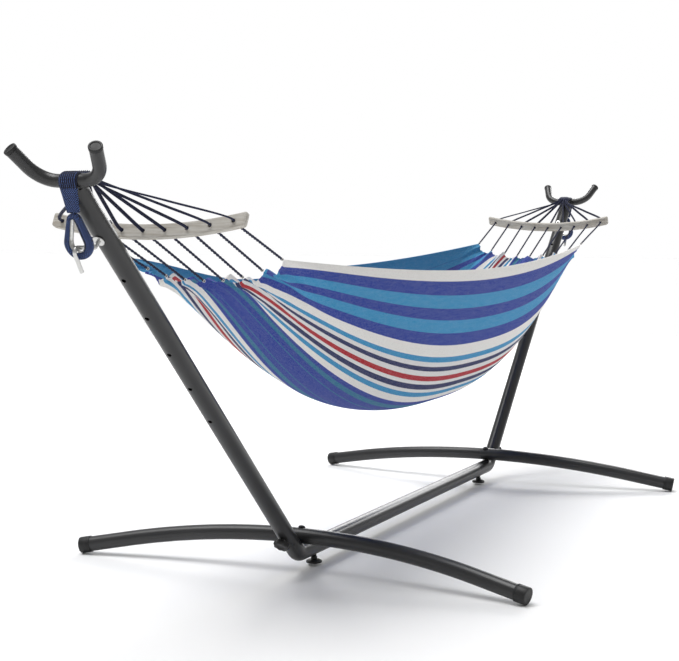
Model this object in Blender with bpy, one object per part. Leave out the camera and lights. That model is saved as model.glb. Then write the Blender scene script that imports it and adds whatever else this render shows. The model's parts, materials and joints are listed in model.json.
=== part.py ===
"""Hammock on a tubular steel stand, with wooden spreader bars and a striped cloth bed.

Metres, +Z up. The floor is z = 0, the spine runs along X and the legs along Y, and the
origin is on the floor in the middle. Both ends are alike: `side` is -1 at the left end
and +1 at the right end, and every end piece is made once for each side.
"""
import math

import bmesh
import bpy
from mathutils import Matrix, Vector

# ---- clearances -------------------------------------------------------------------
GAP = 0.0003                 # between pieces that touch
BOLT_CLEARANCE = 0.0005      # round a bolt in its hole, all round
NUT_STANDOFF = 0.0022        # a flat nut's face off the round wall it bears on

# ---- stand: driving sizes ---------------------------------------------------------
LEG_SPAN = 1.200             # across the ends of one leg, along Y
BASE_HALF = 0.689            # middle to where the spine and upright centrelines meet
SPINE_HEIGHT = 0.048         # spine centreline above the floor
UPRIGHT_ANGLE = math.radians(44.6)   # above the horizontal
UPRIGHT_LENGTH = 1.2485      # that meeting point to the horn's centreline

MAIN_DIAMETER = 0.042        # uprights, elbows and spine
MAIN_WALL = 0.0015
SPIGOT_WALL = 0.0015
SPIGOT_IN_SPINE = 0.060      # how far an elbow reaches into the spine
SPIGOT_IN_UPRIGHT = 0.065
UPRIGHT_SEAM = 0.060         # from the meeting point up to the upright's lower end
SPINE_SEAM = 0.1135          # from the meeting point in to the spine's end

LEG_DIAMETER = 0.038
LEG_WALL = 0.0015
LEG_ARCH_HALF = 0.476        # the arch, before the straight ends, from the middle
LEG_SEAM = 0.014             # the joint between the halves, behind the middle
LEG_SPIGOT = 0.055
CAP_WALL = 0.0015            # round the leg
CAP_LENGTH = 0.030
CAP_FLOOR = 0.004            # thickness of its closed end
CAP_CHAMFER = 0.0015

HORN_DIAMETER = 0.0254
HORN_WALL = 0.0015
HORN_BAR_HALF = 0.027        # half of the straight middle
HORN_BEND_RADIUS = 0.055
HORN_BEND = math.radians(72)
HORN_TIP = 0.040             # straight end of each arm
PLUG_RIM = 0.0008            # how far the plug's rim stands out from the tube
PLUG_HEAD = 0.007
PLUG_INSERT = 0.018
PLUG_TAPER = 0.002           # at the inner end of the insert
PLUG_EDGE = 0.0012           # rounding of the head, and depth of the dish in its face
PLUG_DISH_IN = 0.001         # the dish's rim, inside the insert's radius

HOLE_DIAMETER = 0.0100       # height holes through an upright
HOLE_FIRST = 0.135           # down from the horn's centreline
HOLE_PITCH = 0.112
HOLE_COUNT = 6

# ---- fasteners --------------------------------------------------------------------
M8 = 0.008
M8_NUT_FLATS = 0.013
M8_NUT_HEIGHT = 0.0065
LEG_BOLT_HEAD = 0.018
LEG_BOLT_DOME = 0.006
LEG_BOLT_CROWN = 0.0015      # radius of the flat on top of the dome
BOLT_PROUD = 0.002           # a bolt's end past its nut
CLAMP_UP = 0.084             # clamp screw's place up the upright, from the meeting point
KNOB_DIAMETER = 0.040
KNOB_HEIGHT = 0.014
KNOB_LOBES = 8
KNOB_LOBE_DEPTH = 0.0018
KNOB_BORE = 0.0084           # depth of the screw in the knob
KNOB_PROFILE = [(0.70, 0.0), (0.72, 0.22), (0.97, 0.24), (1.0, 0.32), (1.0, 0.86), (0.90, 1.0)]
KNOB_LOBED = (0.23, 0.99)    # the lobes run between these shares of its height
WASHER_DIAMETER = 0.022
WASHER_THICKNESS = 0.0016
CLAMP_TRAVEL = 0.005         # how far the clamp screw backs out
SCREW_PROUD = 0.004          # past its nut when it is backed right out
SCREW_CHAMFER = 0.001

FOOT_INSET = 0.090           # levelling foot, in from the meeting point
FOOT_STUD = 0.012
FOOT_COLLAR = 0.016
FOOT_COLLAR_HEIGHT = 0.007
FOOT_PAD_DIAMETER = 0.040
FOOT_PAD_HEIGHT = 0.008
FOOT_PAD_SLOPE = (0.006, 0.003)      # the pad's sloping shoulder, in and down
FOOT_PAD_EDGE = 0.001
FOOT_PAD_FLOOR = 0.0025      # under the stud
FOOT_PAD_VENT = 0.003        # radius of the hole in that floor
FOOT_NUT_FLATS = 0.019
FOOT_NUT_HEIGHT = 0.008
FOOT_NUT_UP = 0.004          # the nut's underside above the tube's inner wall
FOOT_LIFT = 0.006            # underside of the pad above the floor
FOOT_TRAVEL = 0.005          # each way

BUTTON_DIAMETER = 0.008
BUTTON_INSET = 0.145         # spine button, in from the meeting point
BUTTON_STANDS_OUT = 0.0025
BUTTON_EDGE = 0.0013
BUTTON_COLLAR = 0.0012       # thickness of the collar that keeps it in
BUTTON_COLLAR_OUT = 0.0015   # how far that stands out round it
BUTTON_SEAT = 0.0030         # the collar below the inner wall
SPRING_SEAT = 0.004          # the spring's back off the far wall
SPRING_TRAVEL = 0.005        # free room between the collar and the spring
SPRING_LEAF = 0.0010
SPRING_WIDTH = 0.010
SPRING_LENGTH = 0.030

# ---- hammock: driving sizes -------------------------------------------------------
BAND_WIDTH = 0.040           # woven band over the horn
BAND_THICKNESS = 0.005
BAND_ROOT_THICKNESS = 0.013  # where the cords enter it
BAND_EDGE = 0.0018           # rounding of its long edges
BAND_ROOT_LENGTH = 0.030     # from the horn to the cords
BAND_CLEARANCE = 0.0034      # under the root, over the upright's top edge
ROOT_LIFT_MIDWAY = 0.7       # share of the root's lift that the band has halfway to it
HANG_CLEARANCE = 0.0007      # from the band's hanging end to the upright's outer top edge
HANG_LENGTH = 0.056          # from the horn to the eye loop
HANG_WIDTH = 0.028           # of the band at the eye loop

EYE_OPENING = 0.030          # thimble opening across
EYE_CENTRE = 0.043           # from the loop's throat to the middle of its round end
EYE_THROAT = 0.0035          # radius of the opening's narrow end
THIMBLE_WALL = 0.0015
THIMBLE_DEPTH = 0.014
ROPE = 0.014                 # thickness of the woven rope round the thimble
ROPE_AT_THROAT = 0.010
ROPE_EDGE = 0.004
THIMBLE_EDGE = 0.0003

HOOK_ROD = 0.008
HOOK_STRAIGHT = 0.018        # from the upright's skin to the corner of its first bend
HOOK_PROUD = 0.004           # past its nut
HOOK_BEND = 0.009            # radius of its bends, at the centreline
HOOK_REACH = 0.0218          # out of the middle of the eye, to the second bend
HOOK_EASE = 0.0006           # between the rod and the round end of the thimble
HOOK_SETTLES = 4             # rounds that its slope in the eye takes to settle
HOOK_TAIL = 0.046            # from the middle of the eye down to the tip
DISC_DIAMETER = 0.024
DISC_THICKNESS = 0.0022

CORD_COUNT = 9
CORD_DIAMETER = 0.0065
CORD_STRAIGHT = 0.010        # past the bar's faces, before a cord turns
ROOT_LENGTH = 0.016          # bound root that the cords leave from
ROOT_EDGE = 0.003
ROOT_SPREAD = 0.0325         # between the outer cords in the root
ROOT_LAYER = 0.0027          # the cords lie in two layers, this far off its middle
BAR_LENGTH = 0.450
BAR_WIDTH = 0.030
BAR_THICKNESS = 0.014
BAR_EDGE = 0.004
BAR_TIP = 0.006              # its rounded ends
BAR_TIP_SHARE = 0.62
BAR_SETBACK = 0.2365         # from the horn's centreline in to the middle of the bar
BAR_DROP = 0.0946            # and down to it
BAR_BOW = 0.0213             # how far the end holes stand above the middle one
BAR_HOLE_SPREAD = 0.398      # between the two end holes
BAR_HOLE_CLEARANCE = 0.0012  # round a cord

BED_SETBACK = 0.2295         # from the bar in to the cloth's end edge
BED_SPREAD = 0.374           # between the end corners
BED_BULGE = 0.048            # how much wider each edge is in the middle
EDGE_DROP = 0.110            # from the bar down to the middle of the top edges
EDGE_RISE = 0.052            # from there to the corners
KEEL_DROP = 0.106            # from the bar down to the lowest point of the end edge
BED_DEPTH = 0.388            # from there down to the lowest point of the bed
KEEL_POWER = 2.784
KEEL_FULLNESS = 1.547
SECTION_POWER = 2.33
EDGE_BULGE_POWER = 2.2
EDGE_RISE_POWER = 1.8
CLOTH_THICKNESS = 0.003

# ---- facets round each kind of piece ----------------------------------------------
MAIN_SIDES = 16
LEG_SIDES = 12
HORN_SIDES = 12
CORD_SIDES = 6
SMALL_SIDES = 12
HOLE_SIDES = 8

# ---- derived ----------------------------------------------------------------------
MAIN_RADIUS = MAIN_DIAMETER / 2
MAIN_BORE = MAIN_RADIUS - MAIN_WALL
SPIGOT_RADIUS = MAIN_BORE - GAP
SPIGOT_BORE = SPIGOT_RADIUS - SPIGOT_WALL
LEG_RADIUS = LEG_DIAMETER / 2
LEG_BORE = LEG_RADIUS - LEG_WALL
HORN_RADIUS = HORN_DIAMETER / 2
CAP_BORE = LEG_RADIUS + GAP
CAP_RADIUS = CAP_BORE + CAP_WALL
CORD_RADIUS = CORD_DIAMETER / 2
ONE_WALL = 0.6 * MAIN_DIAMETER       # a cutter this long, centred on the skin, cuts one wall
LEG_SEAT = MAIN_RADIUS + LEG_RADIUS + GAP      # leg centre to the elbow's centreline
LEG_IN = LEG_SEAT * math.tan(UPRIGHT_ANGLE / 2)
LEG_HEIGHT = SPINE_HEIGHT + LEG_SEAT
HORN_HEIGHT = SPINE_HEIGHT + UPRIGHT_LENGTH * math.sin(UPRIGHT_ANGLE)
SWING_HEIGHT = HORN_HEIGHT + HORN_RADIUS       # the band bears on the top of the horn
BAR_FROM_MIDDLE = BASE_HALF + UPRIGHT_LENGTH * math.cos(UPRIGHT_ANGLE) - BAR_SETBACK
BAR_HEIGHT = HORN_HEIGHT - BAR_DROP
BED_HALF = BAR_FROM_MIDDLE - BED_SETBACK       # middle to the cloth's end edge
EDGE_HEIGHT = BAR_HEIGHT - EDGE_DROP
KEEL_END = BAR_HEIGHT - KEEL_DROP
SIDES = {"left": -1, "right": 1}
ACROSS = Vector((0, 1, 0))
UP = Vector((0, 0, 1))


# ---- materials --------------------------------------------------------------------
def material(name, colour, roughness, metallic=0.0):
    found = bpy.data.materials.get(name)
    if found:
        return found
    made = bpy.data.materials.new(name)
    made.use_nodes = True
    shader = made.node_tree.nodes["Principled BSDF"]
    shader.inputs["Base Color"].default_value = (*colour, 1)
    shader.inputs["Roughness"].default_value = roughness
    shader.inputs["Metallic"].default_value = metallic
    made.diffuse_color = (*colour, 1)
    return made


def powder_coat():
    return material("powder_coat", (0.045, 0.046, 0.048), 0.42, 0.2)


def black_plastic():
    return material("black_plastic", (0.012, 0.012, 0.013), 0.5)


def zinc():
    return material("zinc_plate", (0.62, 0.62, 0.60), 0.28, 1.0)


def rope_navy():
    return material("navy_rope", (0.02, 0.03, 0.14), 0.85)


def pale_wood():
    return material("pale_wood", (0.66, 0.62, 0.55), 0.6)


def cotton():
    return material("striped_cotton", (0.08, 0.16, 0.45), 0.9)


# ---- mesh helpers -----------------------------------------------------------------
def add_mesh(name, verts, faces, finish, origin=Vector((0, 0, 0)), parent=None):
    """An object whose vertices are given in world space and kept relative to its origin."""
    mesh = bpy.data.meshes.new(name)
    mesh.from_pydata([tuple(Vector(v) - origin) for v in verts], [], faces)
    shape = bmesh.new()
    shape.from_mesh(mesh)
    bmesh.ops.recalc_face_normals(shape, faces=shape.faces)
    shape.to_mesh(mesh)
    shape.free()
    mesh.shade_smooth()
    mesh.set_sharp_from_angle(angle=math.radians(40))
    mesh.materials.append(finish)
    placed = bpy.data.objects.new(name, mesh)
    bpy.context.collection.objects.link(placed)
    if parent:
        placed.parent = parent
        placed.location = origin - parent.location
    else:
        placed.location = origin
    return placed


def ring(centre, first, second, radius, sides, phase=0.0):
    """Points round a circle whose plane holds the unit vectors first and second."""
    points = []
    for step in range(sides):
        angle = 2 * math.pi * step / sides + phase
        points.append(centre + radius * (math.cos(angle) * first + math.sin(angle) * second))
    return points


def skin(rings, closed=False):
    """Quads between successive rings; closed joins the last ring to the first."""
    sides = len(rings[0])
    verts = [point for one in rings for point in one]
    faces = []
    count = len(rings)
    for row in range(count if closed else count - 1):
        here, there = row * sides, ((row + 1) % count) * sides
        for step in range(sides):
            after = (step + 1) % sides
            faces.append((here + step, here + after, there + after, there + step))
    return verts, faces


def solid(rings):
    """A closed body skinned over the rings, with a flat face at each end."""
    verts, faces = skin(rings)
    sides = len(rings[0])
    faces.append(tuple(range(sides)))
    faces.append(tuple(range(len(verts) - sides, len(verts))))
    return verts, faces


def sweep(stations, normal, sides):
    """Rings square to a path in the plane with this normal; a station is (point, tangent, radius)."""
    rings = []
    for point, tangent, radius in stations:
        rings.append(ring(point, normal.cross(tangent).normalized(), normal, radius, sides))
    return rings


def tube(name, path, normal, outer, bore, sides, finish):
    """An open-ended tube; outer and bore are one radius each or a list along the path."""
    outer = outer if isinstance(outer, list) else [outer] * len(path)
    bore = bore if isinstance(bore, list) else [bore] * len(path)
    outside = sweep([(p, t, r) for (p, t), r in zip(path, outer)], normal, sides)
    inside = sweep([(p, t, r) for (p, t), r in zip(path, bore)], normal, sides)
    verts, faces = skin(outside + inside[::-1], closed=True)
    return add_mesh(name, verts, faces, finish)


def turned(name, profile, origin, axis, sides, finish, hollow=False):
    """A body of revolution about axis; the profile's points are (radius, height)."""
    first = axis.orthogonal().normalized()
    second = axis.cross(first)
    rings = [ring(origin + height * axis, first, second, radius, sides)
             for radius, height in profile]
    verts, faces = skin(rings, closed=True) if hollow else solid(rings)
    return add_mesh(name, verts, faces, finish, origin)


def hexagon(name, origin, axis, flats, height, bore, finish):
    """A nut standing on origin, with a round bore."""
    sides = SMALL_SIDES
    first = axis.orthogonal().normalized()
    second = axis.cross(first)
    corner = flats / 2 / math.cos(math.pi / 6)
    outside = []
    for level in (0, height):
        points = []
        for step in range(sides):
            radius = corner if step % 2 == 0 else flats / 2
            angle = 2 * math.pi * step / sides
            points.append(origin + level * axis
                          + radius * (math.cos(angle) * first + math.sin(angle) * second))
        outside.append(points)
    inside = [ring(origin + level * axis, first, second, bore, sides) for level in (height, 0)]
    verts, faces = skin(outside + inside, closed=True)
    return add_mesh(name, verts, faces, finish, origin)


def drill(target, holes):
    """Cut round holes; each is (centre, axis, radius, length) and its flats touch the radius."""
    verts, faces = [], []
    corner = 1 / math.cos(math.pi / HOLE_SIDES)
    for centre, axis, radius, length in holes:
        first = axis.orthogonal().normalized()
        second = axis.cross(first)
        ends = [ring(centre + reach * axis, first, second, radius * corner, HOLE_SIDES,
                     math.pi / HOLE_SIDES)
                for reach in (-length / 2, length / 2)]
        more, quads = solid(ends)
        start = len(verts)
        verts += more
        faces += [tuple(start + index for index in face) for face in quads]
    cutter = add_mesh(target.name + "_cutter", verts, faces, target.data.materials[0])
    cutter.hide_render = True
    cutter.display_type = "WIRE"
    cut = target.modifiers.new("holes", "BOOLEAN")
    cut.operation = "DIFFERENCE"
    cut.solver = "EXACT"
    cut.object = cutter


def arc(centre, start, sweep_angle, normal, steps):
    """Stations (point, tangent) on a circle about centre, from start, turning about normal."""
    stations = []
    arm = start - centre
    for step in range(steps + 1):
        turn = Matrix.Rotation(sweep_angle * step / steps, 3, normal)
        here = turn @ arm
        tangent = (normal * math.copysign(1, sweep_angle)).cross(here).normalized()
        stations.append((centre + here, tangent))
    return stations


# ---- places on one end of the stand -----------------------------------------------
class End:
    """Directions and points of one end. `out` points away from the middle along X."""

    def __init__(self, name):
        self.name = name
        self.side = SIDES[name]
        self.out = Vector((self.side, 0, 0))
        self.up_tube = math.cos(UPRIGHT_ANGLE) * self.out + math.sin(UPRIGHT_ANGLE) * UP
        self.off_tube = math.sin(UPRIGHT_ANGLE) * self.out - math.cos(UPRIGHT_ANGLE) * UP
        self.turn = self.side * ACROSS       # a turn from `out` down and back under
        self.corner = BASE_HALF * self.out + SPINE_HEIGHT * UP
        self.horn = self.corner + UPRIGHT_LENGTH * self.up_tube
        self.leg = (BASE_HALF - LEG_IN) * self.out + LEG_HEIGHT * UP
        self.clamp = self.corner + CLAMP_UP * self.up_tube
        self.foot = (BASE_HALF - FOOT_INSET) * self.out + SPINE_HEIGHT * UP
        self.button = (BASE_HALF - BUTTON_INSET) * self.out + SPINE_HEIGHT * UP

    def hook_hole(self, number=0):
        return self.horn - (HOLE_FIRST + number * HOLE_PITCH) * self.up_tube


# ---- stand ------------------------------------------------------------------------
def leg_drop(end_angle):
    """How far the leg's end falls from its crown, for this angle at its straight ends."""
    radius = LEG_ARCH_HALF / math.sin(end_angle)
    straight = LEG_SPAN / 2 - LEG_ARCH_HALF
    return radius * (1 - math.cos(end_angle)) + straight * math.tan(end_angle)


def leg_end_height(end_angle):
    """Height of the end's centre that sets the cap's lowest point on the floor."""
    slope = math.sin(end_angle) * math.cos(UPRIGHT_ANGLE)
    return CAP_RADIUS * math.sqrt(1 - slope * slope)


def leg_end_angle():
    """The bend that brings the leg from its seat down to the floor, by halving."""
    low, high = 0.01, 1.2
    for _ in range(60):
        middle = (low + high) / 2
        fall = leg_drop(middle) * math.cos(UPRIGHT_ANGLE)
        if fall < LEG_HEIGHT - leg_end_height(middle):
            low = middle
        else:
            high = middle
    return middle


def leg_station(end, across):
    """Centre and tangent of the leg at this distance along Y."""
    angle = leg_end_angle()
    radius = LEG_ARCH_HALF / math.sin(angle)
    reach = min(abs(across), LEG_ARCH_HALF)
    here = math.asin(reach / radius)
    drop = radius * (1 - math.cos(here)) + (abs(across) - reach) * math.tan(angle)
    point = end.leg + across * ACROSS + drop * end.off_tube
    lean = math.copysign(here, across)
    tangent = math.cos(lean) * ACROSS + math.sin(lean) * end.off_tube
    return point, tangent


def spaced(start, stop, steps):
    return [start + (stop - start) * step / steps for step in range(steps + 1)]


def make_leg(end):
    """Front half with a plain inner end, back half with a spigot that enters it."""
    half = LEG_SPAN / 2 - CAP_FLOOR
    reach = LEG_SEAM + GAP
    mouth = reach - LEG_SPIGOT
    front = [leg_station(end, y) for y in spaced(-half, mouth, 7) + [LEG_SEAM]]
    front_leg = tube(f"{end.name}_front_leg", front, end.up_tube, LEG_RADIUS, LEG_BORE, LEG_SIDES,
                     powder_coat())
    spots = [mouth, reach, reach] + spaced(reach, half, 7)[1:]
    spigot = LEG_BORE - GAP
    outer = [spigot, spigot] + [LEG_RADIUS] * (len(spots) - 2)
    bore = [spigot - LEG_WALL] * len(spots)
    back = [leg_station(end, y) for y in spots]
    back_leg = tube(f"{end.name}_back_leg", back, end.up_tube, outer, bore, LEG_SIDES,
                    powder_coat())
    hole = (end.leg, bolt_axis(end), M8 / 2 + BOLT_CLEARANCE, 2 * LEG_DIAMETER)
    drill(front_leg, [hole])
    drill(back_leg, [hole])


def make_leg_caps(end):
    half = LEG_SPAN / 2
    for word, sign in (("front", -1), ("back", 1)):
        tip, tangent = leg_station(end, sign * half)
        outwards = sign * tangent
        mouth = -CAP_LENGTH
        profile = [(CAP_RADIUS - CAP_CHAMFER, 0), (CAP_RADIUS, -CAP_CHAMFER),
                   (CAP_RADIUS, mouth), (CAP_BORE, mouth), (CAP_BORE, GAP - CAP_FLOOR)]
        verts, faces = solid([ring(tip + height * outwards, end.up_tube,
                                   end.up_tube.cross(outwards), radius, LEG_SIDES)
                              for radius, height in profile])
        add_mesh(f"{end.name}_{word}_leg_cap", verts, faces, black_plastic())


def bolt_axis(end):
    """From the leg's centre to the middle of the elbow's bend."""
    half = UPRIGHT_ANGLE / 2
    return math.sin(half) * end.out - math.cos(half) * UP


def make_elbow(end):
    """Bent tube that the leg lies in, with a spigot for the spine and one for the upright."""
    inner = BASE_HALF - SPINE_SEAM
    low = SPINE_HEIGHT * UP
    path = [((inner - SPIGOT_IN_SPINE) * end.out + low, end.out)]
    path += [(inner * end.out + low, end.out)] * 2
    bend_start = end.leg - LEG_SEAT * UP
    path += arc(end.leg, bend_start, -UPRIGHT_ANGLE, end.turn, 6)
    seam = end.corner + (UPRIGHT_SEAM - GAP) * end.up_tube
    path += [(seam, end.up_tube)] * 2
    path += [(seam + SPIGOT_IN_UPRIGHT * end.up_tube, end.up_tube)]
    outer = [SPIGOT_RADIUS] * 2 + [MAIN_RADIUS] * (len(path) - 4) + [SPIGOT_RADIUS] * 2
    elbow = tube(f"{end.name}_elbow", path, ACROSS, outer, SPIGOT_BORE, MAIN_SIDES, powder_coat())
    bolt = bolt_axis(end)
    small = M8 / 2 + BOLT_CLEARANCE
    drill(elbow, [
        (end.leg + LEG_SEAT * bolt - MAIN_RADIUS * bolt, bolt, small, ONE_WALL),
        (end.clamp + MAIN_RADIUS * end.off_tube, end.off_tube, small, ONE_WALL),
        (end.foot - MAIN_RADIUS * UP, UP, FOOT_STUD / 2 + BOLT_CLEARANCE, ONE_WALL),
        (end.button + MAIN_RADIUS * ACROSS, ACROSS, BUTTON_DIAMETER / 2 + BOLT_CLEARANCE,
         ONE_WALL),
    ])


def make_spine():
    reach = BASE_HALF - SPINE_SEAM - GAP
    ends = [(x * Vector((1, 0, 0)) + SPINE_HEIGHT * UP, Vector((1, 0, 0)))
            for x in (-reach, reach)]
    spine = tube("spine", ends, ACROSS, MAIN_RADIUS, MAIN_BORE, MAIN_SIDES, powder_coat())
    drill(spine, [(End(name).button + MAIN_RADIUS * ACROSS, ACROSS,
                   BUTTON_DIAMETER / 2 + BOLT_CLEARANCE, ONE_WALL)
                  for name in SIDES])


def make_upright(end):
    """Straight tube with the height holes; its top is welded to the underside of the horn."""
    foot = end.corner + UPRIGHT_SEAM * end.up_tube
    top = end.horn - (HORN_RADIUS + GAP) * end.up_tube
    ends = [(foot, end.up_tube), (top, end.up_tube)]
    upright = tube(f"{end.name}_upright", ends, ACROSS, MAIN_RADIUS, MAIN_BORE, MAIN_SIDES,
                   powder_coat())
    holes = [(end.hook_hole(number), end.off_tube, HOLE_DIAMETER / 2, 2 * MAIN_DIAMETER)
             for number in range(HOLE_COUNT)]
    holes.append((end.clamp + MAIN_RADIUS * end.off_tube, end.off_tube,
                  M8 / 2 + BOLT_CLEARANCE, ONE_WALL))
    drill(upright, holes)


def make_horn(end):
    """U-shaped tube across the upright's top; its arms stand in the upright's plane."""
    steps = 5
    path = []
    for sign in (-1, 1):
        corner = end.horn + sign * HORN_BAR_HALF * ACROSS
        centre = corner + HORN_BEND_RADIUS * end.up_tube
        stations = arc(centre, corner, sign * HORN_BEND, ACROSS.cross(end.up_tube), steps)
        tip, tangent = stations[-1]
        stations.append((tip + HORN_TIP * tangent, tangent))
        if sign < 0:
            stations = [(point, -tangent) for point, tangent in stations[::-1]]
        path += stations
    tube(f"{end.name}_horn", path, end.off_tube, HORN_RADIUS, HORN_RADIUS - HORN_WALL,
         HORN_SIDES, powder_coat())
    insert = HORN_RADIUS - HORN_WALL - GAP
    rim = HORN_RADIUS + PLUG_RIM
    for word, (tip, tangent) in (("front", path[0]), ("back", path[-1])):
        outwards = tangent if word == "back" else -tangent
        first = end.off_tube
        second = first.cross(outwards)
        profile = [(insert - PLUG_TAPER, -PLUG_INSERT), (insert, PLUG_TAPER - PLUG_INSERT),
                   (insert, GAP), (rim, GAP), (rim, PLUG_HEAD - PLUG_EDGE),
                   (rim - PLUG_EDGE, PLUG_HEAD), (insert - PLUG_DISH_IN, PLUG_HEAD),
                   (insert - PLUG_TAPER, PLUG_HEAD - PLUG_EDGE)]
        verts, faces = solid([ring(tip + height * outwards, first, second, radius, HORN_SIDES)
                              for radius, height in profile])
        add_mesh(f"{end.name}_{word}_horn_plug", verts, faces, black_plastic())


def make_leg_bolt(end):
    """Dome-headed bolt through the leg into a nut inside the elbow."""
    axis = bolt_axis(end)
    top = end.leg - (LEG_RADIUS + GAP) * axis
    nut_face = LEG_SEAT - SPIGOT_BORE + NUT_STANDOFF
    end_of_bolt = nut_face + M8_NUT_HEIGHT + BOLT_PROUD
    profile = [(LEG_BOLT_CROWN, -LEG_BOLT_DOME)]
    steps = 4
    for step in range(1, steps + 1):
        angle = math.pi / 2 * step / steps
        profile.append((LEG_BOLT_HEAD / 2 * math.sin(angle), -LEG_BOLT_DOME * math.cos(angle)))
    profile += [(M8 / 2, 0), (M8 / 2, end_of_bolt + LEG_RADIUS + GAP)]
    turned(f"{end.name}_leg_bolt", profile, top, axis, SMALL_SIDES, zinc())
    hexagon(f"{end.name}_leg_nut", end.leg + nut_face * axis, axis, M8_NUT_FLATS,
            M8_NUT_HEIGHT, M8 / 2 + GAP, zinc())


def make_clamp(end):
    """Hand knob, screw and washer on the outside, nut inside the elbow's spigot."""
    axis = end.off_tube
    face = MAIN_RADIUS + GAP
    washer = end.clamp + face * axis
    inner, outer = M8 / 2 + BOLT_CLEARANCE, WASHER_DIAMETER / 2
    turned(f"{end.name}_clamp_washer", [(inner, 0), (outer, 0), (outer, WASHER_THICKNESS),
                                        (inner, WASHER_THICKNESS)], washer, axis, HORN_SIDES,
           zinc(), hollow=True)
    seat = washer + (WASHER_THICKNESS + GAP) * axis
    make_knob(f"{end.name}_clamp_knob", seat, axis)
    nut_at = SPIGOT_BORE - NUT_STANDOFF - M8_NUT_HEIGHT
    hexagon(f"{end.name}_clamp_nut", end.clamp + nut_at * axis, axis, M8_NUT_FLATS,
            M8_NUT_HEIGHT, M8 / 2 + GAP, zinc())
    bottom = nut_at - SCREW_PROUD - CLAMP_TRAVEL - (face + WASHER_THICKNESS + GAP)
    turned(f"{end.name}_clamp_screw",
           [(M8 / 2 - SCREW_CHAMFER, bottom), (M8 / 2, bottom + SCREW_CHAMFER),
            (M8 / 2, KNOB_BORE)], seat, axis, SMALL_SIDES, zinc())


def make_knob(name, seat, axis):
    """Lobed knob with a blind bore for the screw."""
    first = axis.orthogonal().normalized()
    second = axis.cross(first)
    sides = KNOB_LOBES * 3
    screw_bore = M8 / 2 + GAP
    outside = []
    for share, level in KNOB_PROFILE:
        points = []
        for step in range(sides):
            angle = 2 * math.pi * step / sides
            lobe = KNOB_LOBE_DEPTH * (0.5 - 0.5 * math.cos(KNOB_LOBES * angle))
            depth = lobe if KNOB_LOBED[0] < level < KNOB_LOBED[1] else 0
            radius = share * KNOB_DIAMETER / 2 - depth
            points.append(seat + level * KNOB_HEIGHT * axis
                          + radius * (math.cos(angle) * first + math.sin(angle) * second))
        outside.append(points)
    mouth = ring(seat, first, second, screw_bore, sides)
    floor = ring(seat + (KNOB_BORE + GAP) * axis, first, second, screw_bore, sides)
    verts, faces = skin([floor, mouth] + outside)
    count = len(verts)
    faces.append(tuple(range(sides)))
    faces.append(tuple(range(count - sides, count)))
    add_mesh(name, verts, faces, black_plastic(), seat)


def make_foot(end):
    """Levelling foot: nut inside the elbow, threaded stud with a collar, and a round pad."""
    pad_top = FOOT_LIFT + FOOT_PAD_HEIGHT
    base = Vector((end.foot.x, 0, 0))
    neck = FOOT_STUD / 2 + BOLT_CLEARANCE
    edge = FOOT_PAD_DIAMETER / 2
    floor = FOOT_LIFT + FOOT_PAD_FLOOR
    slope_in, slope_down = FOOT_PAD_SLOPE
    turned(f"{end.name}_foot_pad",
           [(neck, floor), (neck, pad_top), (edge - slope_in, pad_top),
            (edge, pad_top - slope_down), (edge, FOOT_LIFT + FOOT_PAD_EDGE),
            (edge - FOOT_PAD_EDGE, FOOT_LIFT), (FOOT_PAD_VENT, FOOT_LIFT), (FOOT_PAD_VENT, floor)],
           base, UP, HORN_SIDES, black_plastic(), hollow=True)
    nut_low = SPINE_HEIGHT - SPIGOT_BORE + FOOT_NUT_UP
    stud_top = nut_low + FOOT_NUT_HEIGHT + FOOT_TRAVEL
    collar_low = pad_top + GAP
    collar_high = collar_low + FOOT_COLLAR_HEIGHT
    turned(f"{end.name}_foot_stud",
           [(FOOT_STUD / 2, floor + GAP), (FOOT_STUD / 2, collar_low), (FOOT_COLLAR / 2, collar_low),
            (FOOT_COLLAR / 2, collar_high), (FOOT_STUD / 2, collar_high),
            (FOOT_STUD / 2, stud_top)], base, UP, SMALL_SIDES, black_plastic())
    hexagon(f"{end.name}_foot_nut", base + nut_low * UP, UP, FOOT_NUT_FLATS, FOOT_NUT_HEIGHT,
            FOOT_STUD / 2 + GAP, zinc())


def make_spine_button(end):
    """Snap button through spigot and spine, with its leaf spring inside the spigot."""
    outside = MAIN_RADIUS + BUTTON_STANDS_OUT
    inside = SPIGOT_BORE - BUTTON_SEAT
    under = inside - BUTTON_COLLAR
    small = BUTTON_DIAMETER / 2
    collar = small + BUTTON_COLLAR_OUT
    turned(f"{end.name}_spine_button",
           [(collar, under), (collar, inside), (small, inside), (small, outside - BUTTON_EDGE),
            (small - BUTTON_EDGE, outside)], end.button, ACROSS, SMALL_SIDES, zinc())
    back = SPRING_SEAT - SPIGOT_BORE
    front = under - SPRING_TRAVEL
    half = SPRING_WIDTH / 2
    outline = [(0, back), (SPRING_LENGTH, back), (SPRING_LENGTH, back + SPRING_LEAF),
               (SPRING_LEAF, back + SPRING_LEAF), (SPRING_LEAF, front - SPRING_LEAF),
               (SPRING_LENGTH, front - SPRING_LEAF), (SPRING_LENGTH, front), (0, front)]
    levels = [[end.button + (along - SPRING_LENGTH / 2) * end.out + across * ACROSS + height * UP
               for along, across in outline] for height in (-half, half)]
    verts, faces = solid(levels)
    add_mesh(f"{end.name}_button_spring", verts, faces, zinc())


# ---- hammock: band, eye and hook --------------------------------------------------
def cord_direction(end):
    """From the bar up to the horn: the cords' line touches the band's path over the horn."""
    wrap = HORN_RADIUS + GAP + BAND_THICKNESS / 2
    bar = BAR_FROM_MIDDLE * end.out + BAR_HEIGHT * UP
    to_horn = end.horn - bar
    slope = math.atan2(to_horn.dot(UP), to_horn.dot(end.out))
    slope += math.asin(wrap / to_horn.length)
    return math.cos(slope) * end.out + math.sin(slope) * UP


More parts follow.
